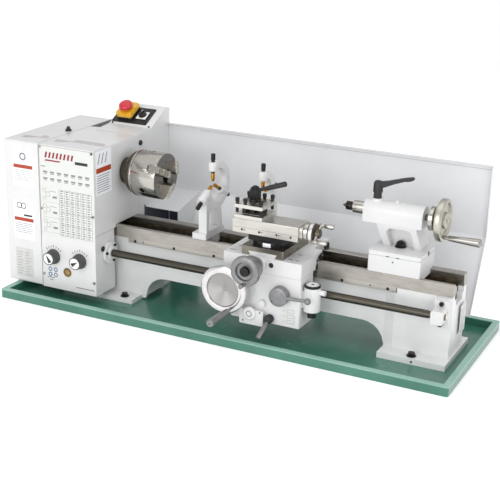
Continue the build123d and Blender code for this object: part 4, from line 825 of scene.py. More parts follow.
def right_face_details():
    """Label, black plug and lid seam on the headstock's right face."""
    low, high = span("front_panel")
    face = span("headstock_casting")[1].x
    y0, y1, z0, z1 = low.y + 10, low.y + 84, high.z - 124, high.z - 4
    make("side_label_film", "machine", LABEL, plate_right, y0, y1, z0, z1, face, 0.25)
    make("side_label_band", "machine", RED_INK, plate_right, y0 + 2, y1 - 2, z0 + 60, z0 + 74, face + 0.25,
        0.1)
    ink = bmesh.new()
    for k in range(8):
        plate_right(ink, y0 + 5, y1 - 8 - 4 * (k % 3), z0 + 52 - 6.4 * k, z0 + 54 - 6.4 * k, face + 0.25,
            0.08)
    for k in range(3):
        y = y0 + 8 + k * 17
        slant = [(y, z0 + 84), (y + 4, z0 + 84), (y + 14, z1 - 8), (y + 10, z1 - 8)]
        prism(ink, slant, "x", face + 0.25, face + 0.33)
    finish(ink, "side_label_print", "machine", INK)
    plug = bmesh.new()
    turned(plug, [(0, 7.2), (2.0, 7.6), (4.5, 6.6), (6.0, 3.4), (6.4, 0)], (face, 72, 203), RIGHT, 32)
    turned(plug, [(0, 7.0), (2.0, 7.4), (4.2, 6.4), (5.4, 3.4), (5.6, 0)], (face, -124, -52), RIGHT, 32)
    finish(plug, "side_plug", "machine", BLACK_PLASTIC)
    make("side_seam", "machine", INK, plate_right, low.y + 1, -62, -11.0, -10.3, face, 0.1)
    # painted shade: a dark navy plate stands for the shadowed inside of the belt housing, low at the rear
    # of the same face
    under = [(92, -120), (92, 20), (102, 9), (228, 37), (228, -120)]
    make("rear_opening", "machine", SHADE_NAVY, prism, under, "x", face - 0.1, face + 0.4)


def selector(name, node, arrow_turn):
    """Gear selector: fluted charcoal body on a skirt, white face with a black pointer."""
    x, _, z = pivot(f"{name}_turn")
    panel = span("front_panel")[0].y
    back, front = panel - 0.5, span(node)[0].y
    deep = back - front
    body = bmesh.new()
    turned(body, [(0, 21.0), (1.0, 21.3), (6.0, 20.6), (7.6, 18.6), (9, 18.3), (deep - 3, 17.6),
        (deep - 1.2, 17.4), (deep - 0.4, 16.6), (deep - 0.6, 15.4), (deep - 1.8, 15.0), (deep - 1.8, 0)],
        (x, back, z), OUT, 144, flutes=(36, 0.9, 8.5, deep - 2.5))
    turned(body, [(0, 6), (deep * 0.2, 6), (deep * 0.2, 0)], (x, back + 10, z), OUT, 24)
    finish(body, f"{node}_body", name, CHARCOAL, replaces=(node,))
    make(f"{node}_face", name, WHITE_PLASTIC, turned, [(0, 15.2), (0.7, 14.8), (0.7, 0)],
        (x, front + 1.5, z), OUT, 48)
    a = math.radians(arrow_turn)
    cos, sin = math.cos(a), math.sin(a)
    arrow = ((13.2, 0.0), (-11.0, 5.6), (-11.0, -5.6))
    outline = [(x + u * cos - v * sin, z + u * sin + v * cos) for u, v in arrow]
    make(f"{node}_pointer", name, DARK_INK, prism, outline, "y", front + 0.4, front + 0.85,
        slot="black_plastic")
    ticks = bmesh.new()
    for k in range(7):
        t = math.radians(40 + k * 100 / 6)
        u, v = math.cos(t), math.sin(t)
        r0, r1, half = 26.0, 31.0 if k % 3 else 33.0, 0.8
        corners = ((r0, half), (r1, half), (r1, -half), (r0, -half))
        outline = [(x + u * r + v * h, z + v * r - u * h) for r, h in corners]
        prism(ticks, outline, "y", panel - 0.12, panel)
    finish(ticks, f"{node}_ticks", "machine", DARK_INK, "painted_white")


def front_controls():
    selector("selector_left", "gear_selector_left", 122)
    selector("selector_right", "gear_selector_right", 30)
    low, high = span("sight_glass")
    x, z = (low.x + high.x) / 2, (low.z + high.z) / 2
    panel = span("front_panel")[0].y
    make("sight_rim", "machine", BRASS_RIM, turned, [
        (-6, 9.8), (0, 9.8), (0, 12.4), (2.6, 12.4), (3.6, 11.4), (3.0, 9.6), (1.6, 9.2), (1.6, 0),
    ], (x, panel, z), OUT, 48, replaces=("sight_glass",))
    make("sight_window", "machine", AMBER, turned, [
        (1.4, 9.3), (2.4, 8.6), (3.2, 6.4), (3.7, 3.4), (3.8, 0),
    ], (x, panel, z), OUT, 40)
    # small blue label with four rings, and a few bars at the panel's foot
    sx, sz = low.x - 53, low.z - 8
    rings = bmesh.new()
    for u in (6.0, 24.0):
        for v in (4.0, 19.0):
            ring(rings, sx + u, sz + v, 6.4, 3.6, panel)
    finish(rings, "ring_label_print", "machine", BLUE_INK)
    bars = bmesh.new()
    for x0, x1, z0 in ((-160, -136, -151), (-152, -142, -158), (-66, -6, -166)):
        plate_front(bars, x0, x1, z0, z0 + 2.6, panel, 0.12)
    finish(bars, "foot_print", "machine", INK)


def cover_thumb_knob():
    x, y, _ = pivot("cover_knob_turn")
    top = span("end_cover")[1].z
    height = span("cover_knob")[1].z - top
    make("cover_thumb_knob", "cover_knob", BLACK_PLASTIC, turned, [
        (-20, 4), (0.4, 4), (0.5, 8.4), (1.5, 9.0), (5.0, 8.6), (6.0, 5.4), (9.0, 5.0),
        (height - 3.6, 4.6), (height - 3, 0),
    ], (x, y, top), UP, 96, (24, 0.6, 0.5, 5), replaces=("cover_knob",))


# ---------------------------------------------------------------------------------- control box
SLOPE = Vector(JOINTS["direction_switch_turn"]["axis"]).normalized()
UPHILL = Vector((1, 0, 0)).cross(-SLOPE).normalized()


def slope_at(x, along, out):
    """A point on the sloping switch face, measured from the direction switch's pivot."""
    base = pivot("direction_switch_turn")
    return Vector((x, base.y, base.z)) + UPHILL * along + SLOPE * out


def slope_prism(bm, outline, out0, out1):
    close(bm, *([at(*slope_at(x, v, out)) for x, v in outline] for out in (out0, out1)))


def control_details():
    switch_x = pivot("direction_switch_turn").x
    stop_x = pivot("stop_flap_hinge").x
    # white square round the direction switch, with a black fluted knob and a grip bar
    square = rounded(switch_x - 16, switch_x + 16, -16, 16, 2.0)
    make("switch_square", "machine", WHITE_PLASTIC, slope_prism, square, 0.2, 0.9, bevel=0.2)
    knob = bmesh.new()
    turned(knob, [(0.9, 11.5), (1.6, 12), (7.5, 11.2), (9.4, 10.2), (10.2, 8.6), (10.2, 0)],
        slope_at(switch_x, 0, 0), SLOPE, 96, flutes=(20, 0.7, 1.5, 7.6))
    slope_prism(knob, rounded(switch_x - 2.6, switch_x + 2.6, -10.6, 10.6, 1.2), 9.8, 14.9)
    finish(knob, "direction_knob", "direction_switch", BLACK_PLASTIC, replaces=("direction_switch",),
        bevel=0.3)
    stripe = rounded(switch_x - 0.6, switch_x + 0.6, 1, 10, 0.5)
    make("direction_stripe", "direction_switch", WHITE_PLASTIC, slope_prism, stripe, 14.9, 15.1)
    # red mushroom of the stop button
    make("stop_mushroom", "stop_button", RED, turned, [
        (10.6, 11.8), (12.8, 11.8), (12.8, 8.9), (26.2, 8.9), (26.4, 18.5), (27.4, 19.8), (29.2, 20.2),
        (33.0, 19.8), (36.2, 18.2), (38.6, 14.6), (39.8, 9.6), (40.3, 4.5), (40.4, 0),
    ], slope_at(stop_x, 0, 0), SLOPE, 72, replaces=("stop_button",))
    # plate screws and the box's own screws
    screws = bmesh.new()
    plate_low, plate_high = span("switch_plate")
    for x in (plate_low.x + 5, plate_high.x - 5):
        for v in (-30, 30):
            turned(screws, [(-2.2, 2.6), (-1.0, 2.6), (-0.4, 1.8), (-0.4, 0)], slope_at(x, v, 0), SLOPE, 20)
    box_low, box_high = span("control_box")
    for x in (box_low.x + 9, box_high.x - 9):
        turned(screws, [(-1, 2.8), (1.2, 2.8), (1.8, 1.8), (1.8, 0)], slope_at(x, -40, -3.6), SLOPE, 20)
    finish(screws, "switch_screws", "machine", BLACK)
    # painted shade: a black plate stands for the shadowed gap between end cover and control box
    head_high = span("headstock_casting")[1]
    left = span("end_cover")[1].x + 3
    wedge = [(left, 90), (box_low.x - 4, 95), (box_low.x - 0.3, 130), (box_low.x - 0.3, 212), (left, 212)]
    make("recess_liner", "machine", BLACK_PLASTIC, prism, wedge, "z", head_high.z - 0.6, head_high.z + 0.3)


# ------------------------------------------------------------------------- leadscrew and bed
def leadscrew_thread():
    """Raised thread along the leadscrew, broken where the keyway runs along its top."""
    x0, x1 = span("leadscrew_flange")[1].x + 1, span("leadscrew_bracket")[0].x - 7
    _, y, z = pivot("leadscrew_spin")
    pitch, steps, gap = 3.6, 12, math.radians(17)
    section = ((-1.35, 9.4), (-0.7, 10.25), (0.7, 10.25), (1.35, 9.4))
    bm = bmesh.new()
    for turn in range(int((x1 - x0) / pitch)):
        rows = []
        for k in range(steps + 1):
            angle = gap + 2 * (math.pi - gap) * k / steps
            x = x0 + pitch * (turn + 0.5 + angle / (2 * math.pi))
            sin, cos = math.sin(angle), math.cos(angle)
            rows.append([bm.verts.new(at(x + dx, y + r * sin, z + r * cos)) for dx, r in section])
        for first, second in zip(rows, rows[1:]):
            for k in range(4):
                n = (k + 1) % 4
                bm.faces.new((first[k], first[n], second[n], second[k]))
        bm.faces.new(rows[0])
        bm.faces.new(rows[-1][::-1])
    finish(bm, "leadscrew_thread", "screw", SCREW_STEEL)


def bed_details():
    low, high = span("gear_rack")
    # joint and dowel pins of the rack's two lengths
    marks = bmesh.new()
    joint = low.x + 629
    block(marks, joint, joint + 0.5, low.y - 0.1, low.y + 1, low.z, high.z)
    for x in (low.x + 47, low.x + 268, low.x + 500, high.x - 68):
        turned(marks, [(-0.5, 2.1), (0.15, 2.1), (0.15, 0)], (x, low.y, high.z - 6), OUT, 20)
    finish(marks, "rack_pins", "machine", BLACK)
    # nameplate on the bed's right end
    end = span("bed")[1].x
    outline = rounded(2, 48, -148, -72, 2)
    make("end_plate", "machine", GREY_FILM, prism, outline, "x", end - 0.1, end + 0.5, bevel=0.15)
    ink = bmesh.new()
    for k in range(8):
        plate_right(ink, 8, 42 - 5 * (k % 3), -142 + 8 * k, -140.6 + 8 * k, end + 0.5, 0.08)
    finish(ink, "end_plate_print", "machine", INK)
    # recessed plug on the right foot, and the oiler of the leadscrew bracket
    x, front = span("bed")[1].x - 85, span("bed")[0].y
    make("foot_plug", "machine", DARK_INK, turned, [(-0.5, 3.0), (0.1, 3.0), (0.1, 0)],
        (x, front, span("bed")[0].z + 7), OUT, 20)
    bracket = span("leadscrew_bracket")
    make("bracket_plug", "machine", CREAM, turned, [
        (-1, 7.4), (0.8, 7.6), (3.2, 6.2), (4.0, 3.5), (4.0, 0),
    ], (bracket[1].x, -88, -70), RIGHT, 40)


def foot_web():
    """Curved web that closes the left foot's arch between the bed's two walls."""
    low = span("bed")[0]
    under, r = low.z + 70, 58
    arc = [math.radians(90 * k / 16) for k in range(17)]
    outer = [(150 - r * math.sin(a), under - r + r * math.cos(a)) for a in arc]
    inner = [(150 - (r + 4) * math.sin(a), under - r + (r + 4) * math.cos(a)) for a in arc]
    make("foot_web", "machine", WHITE, prism, outer + inner[::-1], "y", -46, 46)


def guard_details():
    low, high = span("backsplash")
    # painted shade: a dark navy plate for the shadowed inside of the open bay behind the chuck; and the
    # clip on the hood's edge
    make("bay_liner", "machine", SHADE_NAVY, block, low.x + 0.6, low.x + 101.5, high.y - 0.6, high.y + 0.4,
        low.z + 6, low.z + 186)
    make("guard_hem", "machine", INK, block, low.x + 104, high.x - 3, high.y - 2.0, high.y - 1.5,
        high.z - 11.0, high.z - 10.4, slot="sheet_grey")


# ------------------------------------------------------------------------------------- carriage
def graduations(bm, centre, direction, radius, start, long, short, count, every=5, arc=None):
    """Engraved division lines round a drum, along its axis."""
    along, side, other = axes(direction)
    for k in arc or range(count):
        a = 2 * math.pi * k / count
        reach = long if k % every == 0 else short
        half = 0.28 / radius
        corners = []
        end = start + reach
        for r in (radius - 0.2, radius + 0.05):
            for t, d in ((a - half, start), (a + half, start), (a + half, end), (a - half, end)):
                place = Vector(centre) + along * d + (side * math.cos(t) + other * math.sin(t)) * r
                corners.append(bm.verts.new(at(*place)))
        for face in ((0, 1, 2, 3), (7, 6, 5, 4), (0, 4, 5, 1), (1, 5, 6, 2), (2, 6, 7, 3), (3, 7, 4, 0)):
            bm.faces.new([corners[n] for n in face])


def ball(bm, centre, r, count=32):
    steps = 14
    profile = [(r - r * math.cos(math.pi * k / steps), r * math.sin(math.pi * k / steps))
        for k in range(steps + 1)]
    profile[0], profile[-1] = (0, 0), (2 * r, 0)
    turned(bm, profile, Vector(centre) - Vector((0, r, 0)), (0, 1, 0), count)


def carriage_handwheel():
    x, _, z = pivot("carriage_wheel_turn")
    front, back = span("carriage_wheel")[0].y + 104, APRON_FACE + 20
    into = (0, 1, 0)
    make("carriage_rim", "carriage_wheel", RIM_WHITE, turned, [
        (14.6, 0), (14.6, 42.6), (3.0, 43.9), (0.8, 45.2), (0.1, 47.5), (0.3, 54), (1.8, 60), (4.4, 63),
        (8.5, 64), (13, 63.2), (16, 60), (17, 55), (17, 46), (22, 40), (22, 22), (28, 20), (28.4, 8),
        (back - front, 8), (back - front, 0),
    ], (x, front, z), into, 96, replaces=("carriage_wheel",))
    make("carriage_dish", "carriage_wheel", DISH, turned, [
        (14.2, 0), (14.2, 43.4), (3.1, 43.6), (3.0, 43.0), (3.9, 42.2), (12.4, 9.0), (12.9, 6.0),
        (11.6, 5.0), (11.2, 3.4), (12.2, 2.4), (12.8, 0),
    ], (x, front, z), into, 96)
    make("carriage_grip", "carriage_wheel", SATIN, turned, [
        (-8, 0), (-8, 4), (8.5, 4), (8.5, 5.8), (9.5, 6.6), (12, 7.1), (38, 8.6), (74, 9.5), (97, 9.9),
        (101, 9.2), (103.2, 6.4), (103.2, 3.6), (101.4, 3.0), (101.4, 0),
    ], (x + 20, front, z - 49), OUT, 48)


def cross_handwheel():
    x, _, z = pivot("cross_wheel_turn")
    low, high = span("cross_wheel")
    front = low.y + 22
    into = (0, 1, 0)
    make("cross_rim", "cross_wheel", SATIN, turned, [
        (9.0, 0), (9.0, 17.5), (8.0, 21.5), (1.5, 24.4), (0.2, 26.6), (0, 30), (0.6, 34.5), (2.6, 37.6),
        (6, 39), (13.5, 39), (17, 37.6), (19.4, 33), (20, 30.4), (20, 0),
    ], (x, front, z), into, 96, replaces=("cross_wheel",))
    make("cross_drum", "cross_wheel", SATIN, turned, [
        (19, 0), (19, 29), (20.5, 30), (45, 30), (46.4, 28.8), (47, 26), (68.2, 18), (68.2, 7),
        (high.y - front, 7), (high.y - front, 0),
    ], (x, front, z), into, 96)
    make("cross_lines", "cross_wheel", DARK_INK, graduations, (x, front, z), into, 30, 38, 6.5, 4.0, 50)
    make("cross_hub", "cross_wheel", BLACK, turned, [
        (9.4, 0), (9.4, 12.4), (1.0, 12.0), (-0.6, 11.0), (-0.6, 7.0), (0.8, 6.2), (0.8, 3.4), (-0.4, 2.8),
        (-0.4, 0),
    ], (x, front, z), into, 64)
    make("cross_grip", "cross_wheel", SATIN, turned, [
        (-3, 0), (-3, 4.4), (1.6, 4.4), (1.8, 3.4), (4, 5.0), (12, 6.0), (20, 5.9), (21.6, 4.6),
        (21.8, 2.6), (20.8, 2.0), (20.8, 0),
    ], (x + 1, front, z - 31), OUT, 40)


def apron_levers():
    x, _, z = pivot("half_nut_engage")
    disc = bmesh.new()
    turned(disc, [
        (-16.4, 0), (-16.4, 5.9), (0.5, 5.9), (0.6, 24.2), (1.6, 25), (18.5, 25), (21.2, 24.2),
        (22.4, 22.2), (22.6, 0),
    ], (x, APRON_FACE, z), OUT, 72)
    for u, v in ((14, 4), (9, 11)):
        turned(disc, [(0, 3.4), (1.4, 3.0), (1.7, 1.6), (1.7, 0)], (x + u, APRON_FACE - 22.4, z + v), OUT,
            24)
    finish(disc, "half_nut_disc", "half_nut_lever", SATIN, replaces=("half_nut_lever",))
    arm = bmesh.new()
    bar(arm, (x + 14, APRON_FACE - 15, z), (x + 78, APRON_FACE - 19, z + 4), 5.6, 4.0)
    ball(arm, (x + 80, APRON_FACE - 19, z + 4), 8.5)
    finish(arm, "half_nut_arm", "half_nut_lever", SATIN)
    make("half_nut_pin", "half_nut_lever", DARK_INK, turned, [(0, 1.9), (0.3, 1.9), (0.3, 0)],
        (x - 15, APRON_FACE - 22.4, z - 12), OUT, 16)
    x, _, z = pivot("feed_engage")
    make("feed_collar", "feed_lever", BLACK_PLASTIC, turned, [
        (-16.4, 0), (-16.4, 4.9), (0.5, 4.9), (0.5, 11.0), (1.4, 11.6), (14, 11.4), (17, 9.6), (18, 6),
        (18, 0),
    ], (x, APRON_FACE, z), OUT, 96, (24, 0.6, 1.2, 14.5), replaces=("feed_lever",))
    start = Vector((x - 1, APRON_FACE - 12, z - 5))
    end = Vector((x - 10, APRON_FACE - 49, z - 40))
    length = (end - start).length
    make("feed_grip", "feed_lever", SATIN, turned, [
        (0, 0), (0, 4.6), (10, 5.0), (12, 6.2), (length - 6, 7.2), (length - 1.5, 6.6), (length, 4.4),
        (length, 0),
    ], start, end - start, 40)


def thread_dial_pieces():
    x, y, _ = pivot("thread_dial_spin")
    top = span("thread_dial")[1].z
    make("dial_body", "thread_dial", BLACK, turned, [
        (top - 86.8, 0), (top - 86.8, 11), (top - 71, 11), (top - 71, 4.9), (top - 6.6, 4.9),
        (top - 6.6, 19.2), (top - 5.8, 20), (top - 1.4, 20), (top - 0.4, 19), (top - 0.4, 0),
    ], (x, y, 0), UP, 64, replaces=("thread_dial",))
    make("dial_face", "thread_dial", WHITE_PLASTIC, turned, [
        (top - 0.5, 16.4), (top - 0.1, 16.2), (top - 0.1, 9.0), (top - 0.3, 8.8), (top - 0.3, 0),
    ], (x, y, 0), UP, 48, slot="dial_face")
    marks = bmesh.new()
    for k in range(12):
        a = 2 * math.pi * k / 12
        u, v = math.cos(a), math.sin(a)
        half = 0.9 if k % 3 == 0 else 0.45
        corners = ((10.4, half), (15.4, half), (15.4, -half), (10.4, -half))
        outline = [(x + u * r - v * h, y + v * r + u * h) for r, h in corners]
        prism(marks, outline, "z", top - 0.12, top - 0.02)
    turned(marks, [(top - 0.4, 4.2), (top, 4.0), (top, 0)], (x, y, 0), UP, 24)
    finish(marks, "dial_marks", "thread_dial", DARK_INK)


def carriage_details():
    low, high = span("saddle")
    apron_low = span("apron")[0]
    front, top = APRON_FACE, high.z - 10
    right = high.x
    # dark slots on the wing tops, and clamp screws
    slots = bmesh.new()
    for x0, x1, y in ((low.x + 7, low.x + 25, front + 22), (low.x + 16, low.x + 30, front + 56),
                      (right - 46, right - 34, front + 22), (right - 27, right - 15, front + 22),
                      (right - 38, right - 27, front + 66)):
        block(slots, x0, x1, y, y + 3.2, top - 0.2, top + 0.12)
    turned(slots, [(0.6, 6.6), (2.2, 6.4), (2.6, 5.8), (2.6, 0)], (519, front, 3), OUT, 24)
    finish(slots, "saddle_slots", "carriage", DARK_INK)
    make("saddle_boss", "carriage", CAST_WHITE, turned, [
        (-2, 12.4), (1.6, 12.4), (2.4, 11.6), (2.4, 7.0), (1.0, 6.8), (1.0, 0),
    ], (519, front, 3), OUT, 40)
    # felt wipers on the saddle's right end over the vee
    wiper = bmesh.new()
    vee = [(-64, -21), (-50, 8), (-40, 12), (-22, 12), (-22, 2), (-30, -4), (-36, -6), (-46, 4),
        (-57.5, 2), (-57.5, -21)]
    flat = [(36, 12), (62, 12), (66, 6), (66, -8), (59.5, -8), (59.5, 1.5), (36, 1.5)]
    prism(wiper, vee, "x", right - 0.2, right + 3.2)
    prism(wiper, flat, "x", right - 20.2, right - 16.8)
    finish(wiper, "way_wipers", "carriage", RUBBER, bevel=0.5)
    screws = bmesh.new()
    for y, z in ((-56, 4), (-30, 8)):
        cap_screw(screws, (right + 3.2, y, z), RIGHT, 2.4)
    finish(screws, "wiper_screws", "carriage", SCREW_GREY)
    # plain label low on the apron, a ring mark and pins on the gear boss
    make("apron_film", "carriage", CHART_FILM, plate_front, 552, 591, apron_low.z + 14, apron_low.z + 60,
        front, 0.2)
    ink = bmesh.new()
    for z in (apron_low.z + 18, apron_low.z + 32, apron_low.z + 46):
        plate_front(ink, 566, 586, z, z + 0.8, front - 0.2, 0.08)
        plate_front(ink, 566, 586, z + 8, z + 8.8, front - 0.2, 0.08)
        plate_front(ink, 566, 566.8, z, z + 8.8, front - 0.2, 0.08)
        plate_front(ink, 585.2, 586, z, z + 8.8, front - 0.2, 0.08)
        plate_front(ink, 555, 561, z + 3, z + 4.2, front - 0.2, 0.08)
    ring(ink, 469, -130, 8.5, 6.0, front - 19, 0.15)
    finish(ink, "apron_print", "carriage", INK)
    dots = bmesh.new()
    for x, z in ((450, -152), (497, -124)):
        turned(dots, [(-0.5, 2.2), (0.2, 2.2), (0.2, 0)], (x, front - 14, z), OUT, 16)
    finish(dots, "apron_dots", "carriage", DARK_INK)


# ------------------------------------------------------------------ compound, tool post and rests
def compound_crank_pieces():
    _, y, z = pivot("compound_crank_turn")
    shoulder = span("compound_crank")[1].x - 63.6
    make("compound_drum", "compound_crank", QUILL, turned, [
        (-36, 0), (-36, 5.9), (0, 5.9), (0, 24.2), (0.8, 25), (10, 25), (10.8, 24), (11.6, 20), (14, 20),
        (14, 0),
    ], (shoulder, y, z), RIGHT, 72, replaces=("compound_crank",))
    make("compound_lines", "compound_crank", DARK_INK, graduations, (shoulder, y, z), RIGHT, 25, 0.8, 6.0,
        3.6, 50)
    make("compound_ring", "compound_crank", RIM_WHITE, turned, [
        (13, 0), (13, 25.6), (14, 26.8), (15.2, 27), (21.4, 27), (22.6, 26.2), (23, 24.6), (23, 0),
    ], (shoulder, y, z), RIGHT, 72)
    make("compound_hub", "compound_crank", DARK_TURNED, turned, [
        (22.4, 0), (22.4, 25.2), (24.6, 24.4), (26.4, 19), (27.6, 12.6), (36, 11.2), (37.4, 9.4),
        (37.4, 0),
    ], (shoulder, y, z), RIGHT, 72)
    arms = bmesh.new()
    for side in (-1, 1):
        hy, hz = y + side * 22, z + side * 15
        bar(arms, (shoulder + 29, y, z), (shoulder + 30, hy, hz), 5.4, 4.2)
        turned(arms, [
            (25, 0), (25, 4.6), (30, 5.8), (33, 4.0), (37, 3.8), (39, 5.2), (46, 6.2), (56, 6.5),
            (61, 6.0), (63.2, 4.2), (63.5, 0),
        ], (shoulder, hy, hz), RIGHT, 36)
    finish(arms, "compound_arms", "compound_crank", QUILL)


def compound_details():
    low = span("compound_slide")[0]
    y0, z0 = low.y, low.z
    # line of the gib, and its screws with lock nuts
    gib = bmesh.new()
    block(gib, low.x + 1, low.x + 178, y0 - 0.06, y0 + 0.3, z0 + 15.6, z0 + 16.1)
    for k, x in enumerate((low.x + 26, low.x + 74, low.x + 122, low.x + 160)):
        turned(gib, [(-0.4, 3.1), (0.1, 3.1), (0.1, 0)], (x, y0, z0 + 10), OUT, 20)
    finish(gib, "gib_marks", "compound", DARK_INK)
    screws = bmesh.new()
    for x in (low.x + 26, low.x + 74, low.x + 122):
        cap_screw(screws, (x + 6.5, y0, z0 + 10), OUT, 2.6, 1.4)
    finish(screws, "gib_screws", "compound", QUILL)
    # degree label on the swivel
    label = bmesh.new()
    centre = pivot("compound_swivel")
    radius = centre.y - span("swivel_base")[0].y
    for k in range(12):
        a, b = (math.radians(-96 + 1.9 * n) for n in (k, k + 1))
        corners = ((radius - 0.1, a), (radius + 0.25, a), (radius + 0.25, b), (radius - 0.1, b))
        outline = [(centre.x + r * math.cos(t), centre.y + r * math.sin(t)) for r, t in corners]
        prism(label, outline, "z", centre.z + 2.2, centre.z + 12.4)
    finish(label, "degree_label", "swivel", LABEL)
    scale = bmesh.new()
    graduations(scale, (centre.x, centre.y, centre.z + 2.4), UP, radius + 0.2, 0, 5.0, 3.0, 180,
                arc=range(85, 97))
    finish(scale, "degree_scale", "swivel", DARK_INK)


def clamp_lever():
    x, y, _ = pivot("tool_clamp_turn")
    z = span("tool_post")[1].z
    base = z - 9
    make("clamp_hub", "tool_clamp", BLACK, turned, [
        (9.4, 10.2), (9.4, 13.2), (11, 14.2), (15, 15.2), (28, 15.0), (34, 13.0), (39, 9.2), (42, 5),
        (43, 0),
    ], (x, y, base), UP, 120, (14, 1.2, 12, 35), replaces=("tool_clamp_lever",))
    arm = bmesh.new()
    bar(arm, (x + 7, y, base + 31), (x + 60, y, base + 50), 4.6, 4.0)
    start, end = Vector((x + 24, y, base + 37)), Vector((x + 84, y, base + 58.5))
    length = (end - start).length
    turned(arm, [
        (0, 0), (0, 4.4), (6, 5.4), (20, 6.4), (length - 3, 6.9), (length - 0.6, 6.2), (length, 5),
        (length - 1.6, 3.4), (length - 1.6, 0),
    ], start, end - start, 48)
    finish(arm, "clamp_grip", "tool_clamp", BLACK_PLASTIC)


def post_screws():
    """Eight square-post screws: thick knurled heads with sockets, thin shanks between the plates."""
    x, y, _ = pivot("tool_clamp_turn")
    low, high = span("tool_post_screws")
    tall = high.z - low.z
    reach = (high.x - low.x) / 2 - 4.2
    places = [(u, v) for u in (-reach, 22 - reach, reach - 22, reach) for v in (-reach, reach)]
    heads = bmesh.new()
    for u, v in places:
        turned(heads, [
            (0, 0), (0, 2.6), (2, 3.9), (tall - 11, 3.9), (tall - 10.4, 5.2), (tall - 1, 5.4), (tall, 4.8),
            (tall, 2.6), (tall - 4, 2.4), (tall - 4, 0),
        ], (x + u, y + v, low.z), UP, 36, flutes=(12, 0.5, tall - 10.6, tall - 0.8))
    finish(heads, "post_screw_heads", "tool_post", BLACK, replaces=("tool_post_screws",))


def rest_fingers():
    """Brass-tipped fingers with a blackened shank and a knurled knob at the outer end."""
    for body in ("steady_finger_1", "steady_finger_2", "steady_finger_3", "follow_finger_1",
            "follow_finger_2"):
        low, high = span(body)
        x = (low.x + high.x) / 2
        direction = Vector(JOINTS[f"{body}_slide"]["axis"]).normalized()
        corner = Vector((0, max(abs(low.y), abs(high.y)), max(abs(low.z - CENTRE), abs(high.z - CENTRE))))
        across, up = abs(direction.y), abs(direction.z)
        reach = (corner.y - 6 * up) * across + (corner.z - 6 * across) * up
        make(f"{body}_tip", body, BRASS, turned, [(7.0, 0), (7.0, 2.2), (12, 5.0), (30, 5.0), (30, 0)],
            (x, 0, CENTRE), direction, 32, replaces=(body,))
        make(f"{body}_shank", body, BLACK, turned, [
            (29.5, 0), (29.5, 5.0), (reach - 17, 5.0), (reach - 16.6, 5.9), (reach - 0.8, 6.0),
            (reach, 5.2), (reach, 0),
        ], (x, 0, CENTRE), direction, 96, (24, 0.5, reach - 16.4, reach - 1))


# ------------------------------------------------------------------------------------- tailstock
def lock_lever():
    x, y, _ = pivot("tailstock_lock_turn")
    base = span("tailstock_body")[1].z + 0.4
    make("lock_hub", "tailstock_lock", BLACK_PLASTIC, turned, [
        (-13, 0), (-13, 4.9), (0, 4.9), (0, 10.4), (14, 9.8), (14.6, 11.8), (16, 12.2), (36, 11.6),
        (41, 9.8), (43.4, 6.4), (44, 3), (44, 0),
    ], (x, y, base), UP, 48, replaces=("tailstock_lock_lever",))
    outline = [
        (5, 20), (12, 26), (42, 40), (70, 50.6), (76, 50.6), (84, 53), (91, 57), (92, 61), (87, 63.6),
        (66, 59), (28, 47), (5, 42),
    ]
    outline = [(x + u, base + v) for u, v in outline]
    make("lock_arm", "tailstock_lock", BLACK_PLASTIC, prism, outline, "y", y - 5.6, y + 5.6, bevel=2.4,
        segments=4)


def tailstock_handwheel():
    _, y, z = pivot("tailstock_wheel_turn")
    barrel_end = span("tailstock_body")[1].x
    start = span("tailstock_wheel")[0].x - barrel_end
    face = barrel_end + 24
    make("feed_screw", "tailstock_wheel", IRON, turned, [
        (start, 0), (start, 5.3), (-25, 5.3), (-25, 7.9), (1, 7.9), (1, 0),
    ], (barrel_end, y, z), RIGHT, 40, replaces=("tailstock_wheel",))
    make("quill_drum", "tailstock_wheel", QUILL, turned, [
        (0.4, 0), (0.4, 29.2), (1.2, 30), (11, 30), (12, 29), (14, 22), (23, 20), (23, 0),
    ], (barrel_end, y, z), RIGHT, 72)
    make("quill_lines", "tailstock_wheel", DARK_INK, graduations, (barrel_end, y, z), RIGHT, 30, 1, 6.0,
        3.4, 60)
    make("tailstock_rim", "tailstock_wheel", WHEEL_CHROME, turned, [
        (-1.5, 0), (-1.5, 20.6), (0.6, 44), (-2, 46.6), (-2.6, 49.4), (-0.4, 52.2), (2.6, 53), (11.4, 53),
        (14, 52), (15.6, 49.6), (16, 46), (14.6, 43.8), (9.4, 41.6), (8.4, 38), (7.8, 23), (9.0, 21),
        (16.4, 19.6), (17.2, 18), (17.4, 9), (16.2, 8), (16.2, 0),
    ], (face, y, z), RIGHT, 96)
    make("wheel_key", "tailstock_wheel", DARK_INK, block, face + 16.1, face + 16.6, y - 3.4, y + 3.4,
        z - 3.4, z + 3.4)
    hy, hz = y - 7, z - 41
    make("tailstock_grip", "tailstock_wheel", GRIP_STEEL, turned, [
        (3, 0), (3, 4.2), (25, 4.2), (25, 5.6), (27, 6.4), (60, 8.4), (99, 10.6), (103, 10.6), (106, 9.2),
        (107, 6.4), (106, 5.2), (106, 0),
    ], (face, hy, hz), RIGHT, 48)


